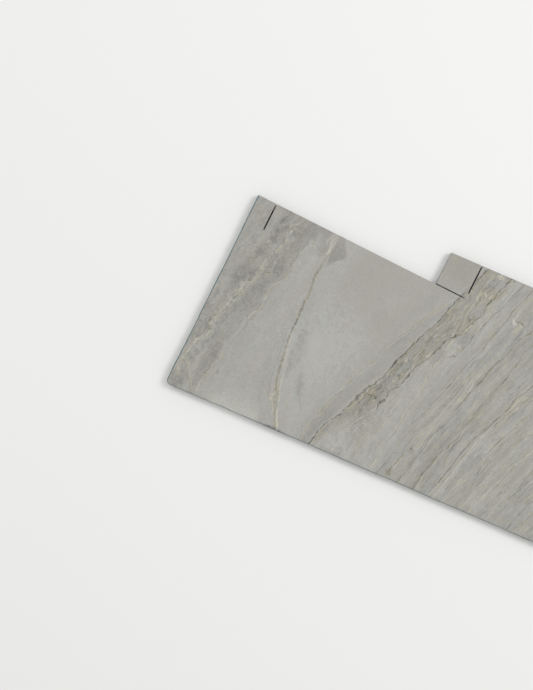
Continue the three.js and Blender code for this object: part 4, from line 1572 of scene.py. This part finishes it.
    def kind(self, face: bpy.types.MeshPolygon) -> Face:
        """Tells which kind of face one of the piece's faces is.

        Args:
            face: The face.

        Returns:
            Its kind.
        """
        if face.center.z > (self.thickness - 0.01) * MM:
            return Face.POLISHED
        if face.center.z < 0.01 * MM:
            return Face.UNDERSIDE
        place = (face.center - self.corner) / MM
        from_left = place.x * math.cos(self.left_turn) - place.y * math.sin(self.left_turn)
        if from_left < self.factory_depth and face.normal.x < -0.3:
            return Face.FACTORY
        if place.y < self.factory_depth and face.normal.y < -0.3:
            return Face.FACTORY
        return Face.KERF if any(kerf.holds(place) for kerf in self.kerfs) else Face.SAWN

    def sort_faces(self) -> None:
        """Gives every face the material slot of its kind."""
        counts = dict.fromkeys(Face, 0)
        for face in self.piece.data.polygons:
            kind = self.kind(face)
            face.material_index = kind.value
            counts[kind] += 1
        log.info("%s: %s", self.piece.name, {kind.name.lower(): n for kind, n in counts.items()})

    def edges_between(self, flat: Face, walls: tuple[Face, ...]) -> set[tuple[int, int]]:
        """Finds the edges where a flat face meets some kinds of wall.

        Args:
            flat: The flat face, polished or underside.
            walls: The kinds of wall.

        Returns:
            The edges as pairs of vertex numbers.
        """
        kinds: dict[tuple[int, int], set[int]] = {}
        for face in self.piece.data.polygons:
            for key in face.edge_keys:
                kinds.setdefault(key, set()).add(face.material_index)
        wanted = [{flat.value, wall.value} for wall in walls]
        return {key for key, found in kinds.items() if found in wanted}

    def cut_short(self, flat: Face, walls: tuple[Face, ...]) -> None:
        """Halves the edges between a flat face and its walls until none is longer than the step.

        Args:
            flat: The flat face, polished or underside.
            walls: The kinds of wall.
        """
        mesh = self.piece.data
        while True:
            long = {key for key in self.edges_between(flat, walls)
                    if (mesh.vertices[key[0]].co - mesh.vertices[key[1]].co).length > self.arris_step * MM}
            if not long:
                break
            self.select("EDGE", lambda edge: edge.key in long)
            self.edit(bpy.ops.mesh.subdivide, number_cuts=1)

    def outward(self, faces: Iterable[bpy.types.MeshPolygon]) -> dict[int, Vector]:
        """Finds the way out of the slab at the corners of some of its walls.

        Args:
            faces: The walls' faces.

        Returns:
            For each vertex's number, a level direction of any length.
        """
        ways: dict[int, Vector] = {}
        for face in faces:
            side = Vector((face.normal.x, face.normal.y, 0.0))
            for number in face.vertices:
                ways[number] = ways.get(number, Vector()) + side
        return ways

    def break_arris(self, flat: Face, walls: tuple[Face, ...], chip: float) -> None:
        """Bevels the edges between a flat face and its walls and knocks chips out of them.

        Args:
            flat: The flat face, polished or underside.
            walls: The kinds of wall.
            chip: Depth of the deepest chips in mm.
        """
        self.cut_short(flat, walls)
        keys = self.edges_between(flat, walls)
        self.select("EDGE", lambda edge: edge.key in keys)
        self.edit(bpy.ops.mesh.bevel, offset=self.arris * MM, segments=1, affect="EDGES",
                  material=Face.SAWN.value, clamp_overlap=False)
        mesh = self.piece.data
        level = self.thickness if flat is Face.POLISHED else 0.0
        outward = self.outward(
            face for face in mesh.polygons if face.material_index == Face.SAWN.value
            and abs(face.center.z / MM - level) < self.arris and 0.2 < abs(face.normal.z) < 0.95)
        for number, side in outward.items():
            vertex = mesh.vertices[number]
            depth = self.chip_depth(vertex.co, chip) * MM
            if abs(vertex.co.z / MM - level) < 0.01:
                vertex.co -= side.normalized() * depth
            else:
                vertex.co.z += 0.6 * depth * (-1 if flat is Face.POLISHED else 1)
        log.info("%s: arris of %d points on the %s side", self.piece.name, len(outward), flat.name.lower())

    def chip_depth(self, spot: Vector, deepest: float) -> float:
        """Says how deep the edge is chipped at a point.

        Args:
            spot: The point in metres.
            deepest: Depth of the deepest chips in mm.

        Returns:
            The depth in mm.
        """
        nibbles = max(0.0, noise.noise(spot / (self.nibble * MM)))
        bites = max(0.0, noise.noise(spot / (self.bite * MM) + Vector((7.3, 1.9, 4.1))) - 0.35)
        return min(deepest, 0.4 * nibbles + 3.0 * bites * deepest)

    def roughen_factory_edges(self) -> None:
        """Divides the factory edges finely and wears them, always inwards and level."""
        self.select("FACE", lambda face: face.material_index == Face.FACTORY.value)
        self.edit(bpy.ops.mesh.tris_convert_to_quads, face_threshold=math.radians(60),
                  shape_threshold=math.radians(60))
        self.edit(bpy.ops.mesh.subdivide, number_cuts=5)
        mesh = self.piece.data
        outward = self.outward(face for face in mesh.polygons if face.material_index == Face.FACTORY.value)
        sawn = {number for face in mesh.polygons if face.material_index == Face.SAWN.value
                for number in face.vertices}
        for number, side in outward.items():
            if number in sawn:
                continue
            vertex = mesh.vertices[number]
            height = vertex.co.z / MM / self.thickness
            coarse = 0.5 + 0.5 * noise.noise(vertex.co / (self.lump * MM))
            fine = 0.5 + 0.5 * noise.noise(vertex.co / (self.grit * MM) + Vector((3.1, 8.2, 5.5)))
            worn = max(0.0, height - (1 - self.worn_share)) / self.worn_share
            worn *= max(0.0, noise.noise(vertex.co / (self.worn_place * MM)) + 0.1)
            depth = self.rough * (0.6 * coarse + 0.4 * fine) + self.wear * worn
            vertex.co -= side.normalized() * depth * MM
        log.info("%s: %d points on the factory edges", self.piece.name, len(outward))

    def build(self) -> None:
        """Builds the piece's mesh."""
        walls = (Face.SAWN, Face.KERF)
        self.start()
        self.sort_faces()
        self.break_arris(Face.POLISHED, walls, self.chip)
        self.break_arris(Face.UNDERSIDE, walls, self.under_chip)
        self.roughen_factory_edges()
        bpy.ops.object.shade_smooth_by_angle(angle=math.radians(28))
        self.select("FACE", lambda face: face.material_index in (Face.POLISHED.value, Face.UNDERSIDE.value))
        self.edit(bpy.ops.mesh.faces_shade_flat)
        log.info("%s: %d faces", self.piece.name, len(self.piece.data.polygons))

    def dress(self) -> None:
        """Gives each kind of face its finish, and ties the piece to the frame."""
        pattern = StonePattern(self.corner).build()
        # The kerf walls are painted nearly black: painted shade for the dark inside the deep, narrow kerfs.
        kerf_shade_finish = SawnStone("sawn quartzite painted dark with kerf shade", slurry_and_shade="#1d1d1b", shares=(0.80, 0.95),
                                roughness=0.6)
        finishes = {Face.POLISHED: PolishedStone(), Face.SAWN: SawnStone(), Face.KERF: kerf_shade_finish,
                    Face.FACTORY: FactoryEdge(), Face.UNDERSIDE: GroundUnderside()}
        for face in Face:
            self.piece.data.materials[face.value] = finishes[face].build(pattern)
        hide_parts(self.node)
        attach(self.piece, self.body)
        log.info("%s rides on %s and replaces %s", self.piece.name, self.body, self.node)


@dataclass(frozen=True)
class SoftLight:
    """A square soft light that points at the slab.

    Args:
        name: What it is called.
        place: Where it is, in metres.
        size: Its side in metres.
        watts: Its power.
    """

    name: str
    place: Triple
    size: float
    watts: float

    def build(self) -> None:
        """Adds the light."""
        data = bpy.data.lights.new(self.name, "AREA")
        data.size = self.size
        data.energy = self.watts
        light = bpy.data.objects.new(self.name, data)
        light.location = self.place
        light.rotation_euler = (-Vector(self.place)).to_track_quat("-Z", "Y").to_euler()
        bpy.context.collection.objects.link(light)


@dataclass
class Studio:
    """A pale floor, soft light from above and the camera that looks straight down.

    Sizes are in metres.
    """

    corner: Vector  # lower left corner of the factory edges
    photo_size: tuple[int, int] = (533, 690)
    corner_pixel: Pair = (164.87, 383.09)  # where that corner is in the photograph
    mm_per_pixel: float = 3.6
    turn: float = math.radians(23.35)  # how far the slab's lower edge runs down to the right
    lens: float = 85.0
    sensor: float = 36.0
    face_height: float = 0.030
    floor_size: float = 40.0
    floor_colour: str = "#f1f1ef"
    floor_roughness: float = 0.9
    floor_gap: float = 0.3 * MM
    world_colour: str = "#ffffff"
    world_strength: float = 0.655
    lights: tuple[SoftLight, ...] = (SoftLight("key light", (5.0, 4.5, 7.5), 4.5, 355.0),
                                     SoftLight("fill light", (-6.5, 2.0, 7.0), 4.5, 125.0))

    def middle(self) -> Vector:
        """Finds the middle of the picture on the polished face.

        Returns:
            The point in metres.
        """
        step = self.mm_per_pixel * MM
        right = (self.photo_size[0] / 2 - self.corner_pixel[0]) * step
        down = (self.photo_size[1] / 2 - self.corner_pixel[1]) * step
        along = right * math.cos(self.turn) + down * math.sin(self.turn)
        up = right * math.sin(self.turn) - down * math.cos(self.turn)
        return self.corner + Vector((along, up, self.face_height))

    def add_camera(self) -> None:
        """Puts the camera straight above the middle of the picture."""
        distance = self.photo_size[1] * self.mm_per_pixel * MM * self.lens / self.sensor
        data = bpy.data.cameras.new("camera")
        data.lens = self.lens
        data.sensor_width = self.sensor
        camera = bpy.data.objects.new("camera", data)
        camera.location = self.middle() + Vector((0.0, 0.0, distance))
        camera.rotation_euler = (0.0, 0.0, self.turn)
        bpy.context.collection.objects.link(camera)
        bpy.context.scene.camera = camera

    def add_floor(self) -> None:
        """Lays the floor just under the slab."""
        bpy.ops.object.select_all(action="DESELECT")
        bpy.ops.mesh.primitive_plane_add(size=self.floor_size, location=(0.0, 0.0, -self.floor_gap))
        floor = bpy.context.object
        floor.name = "floor"
        material = bpy.data.materials.new("pale studio floor")
        material.use_nodes = True
        fill(material.node_tree, material.node_tree.nodes["Principled BSDF"],
             {"Base Color": linear(self.floor_colour), "Roughness": self.floor_roughness})
        floor.data.materials.append(material)

    def build(self) -> None:
        """Sets up the whole studio."""
        self.add_floor()
        self.add_camera()
        for light in self.lights:
            light.build()
        world = bpy.data.worlds.new("soft white room")
        bpy.context.scene.world = world
        world.use_nodes = True
        fill(world.node_tree, world.node_tree.nodes["Background"],
             {"Color": linear(self.world_colour), "Strength": self.world_strength})
        bpy.context.scene.view_settings.view_transform = "Standard"
        log.info("studio is set up")


def main() -> None:
    """Builds the slab and its studio, and reports each piece."""
    slab = SlabRemnant()
    slab.build()
    slab.dress()
    Studio(slab.corner).build()


if __name__ == "__main__":
    main()
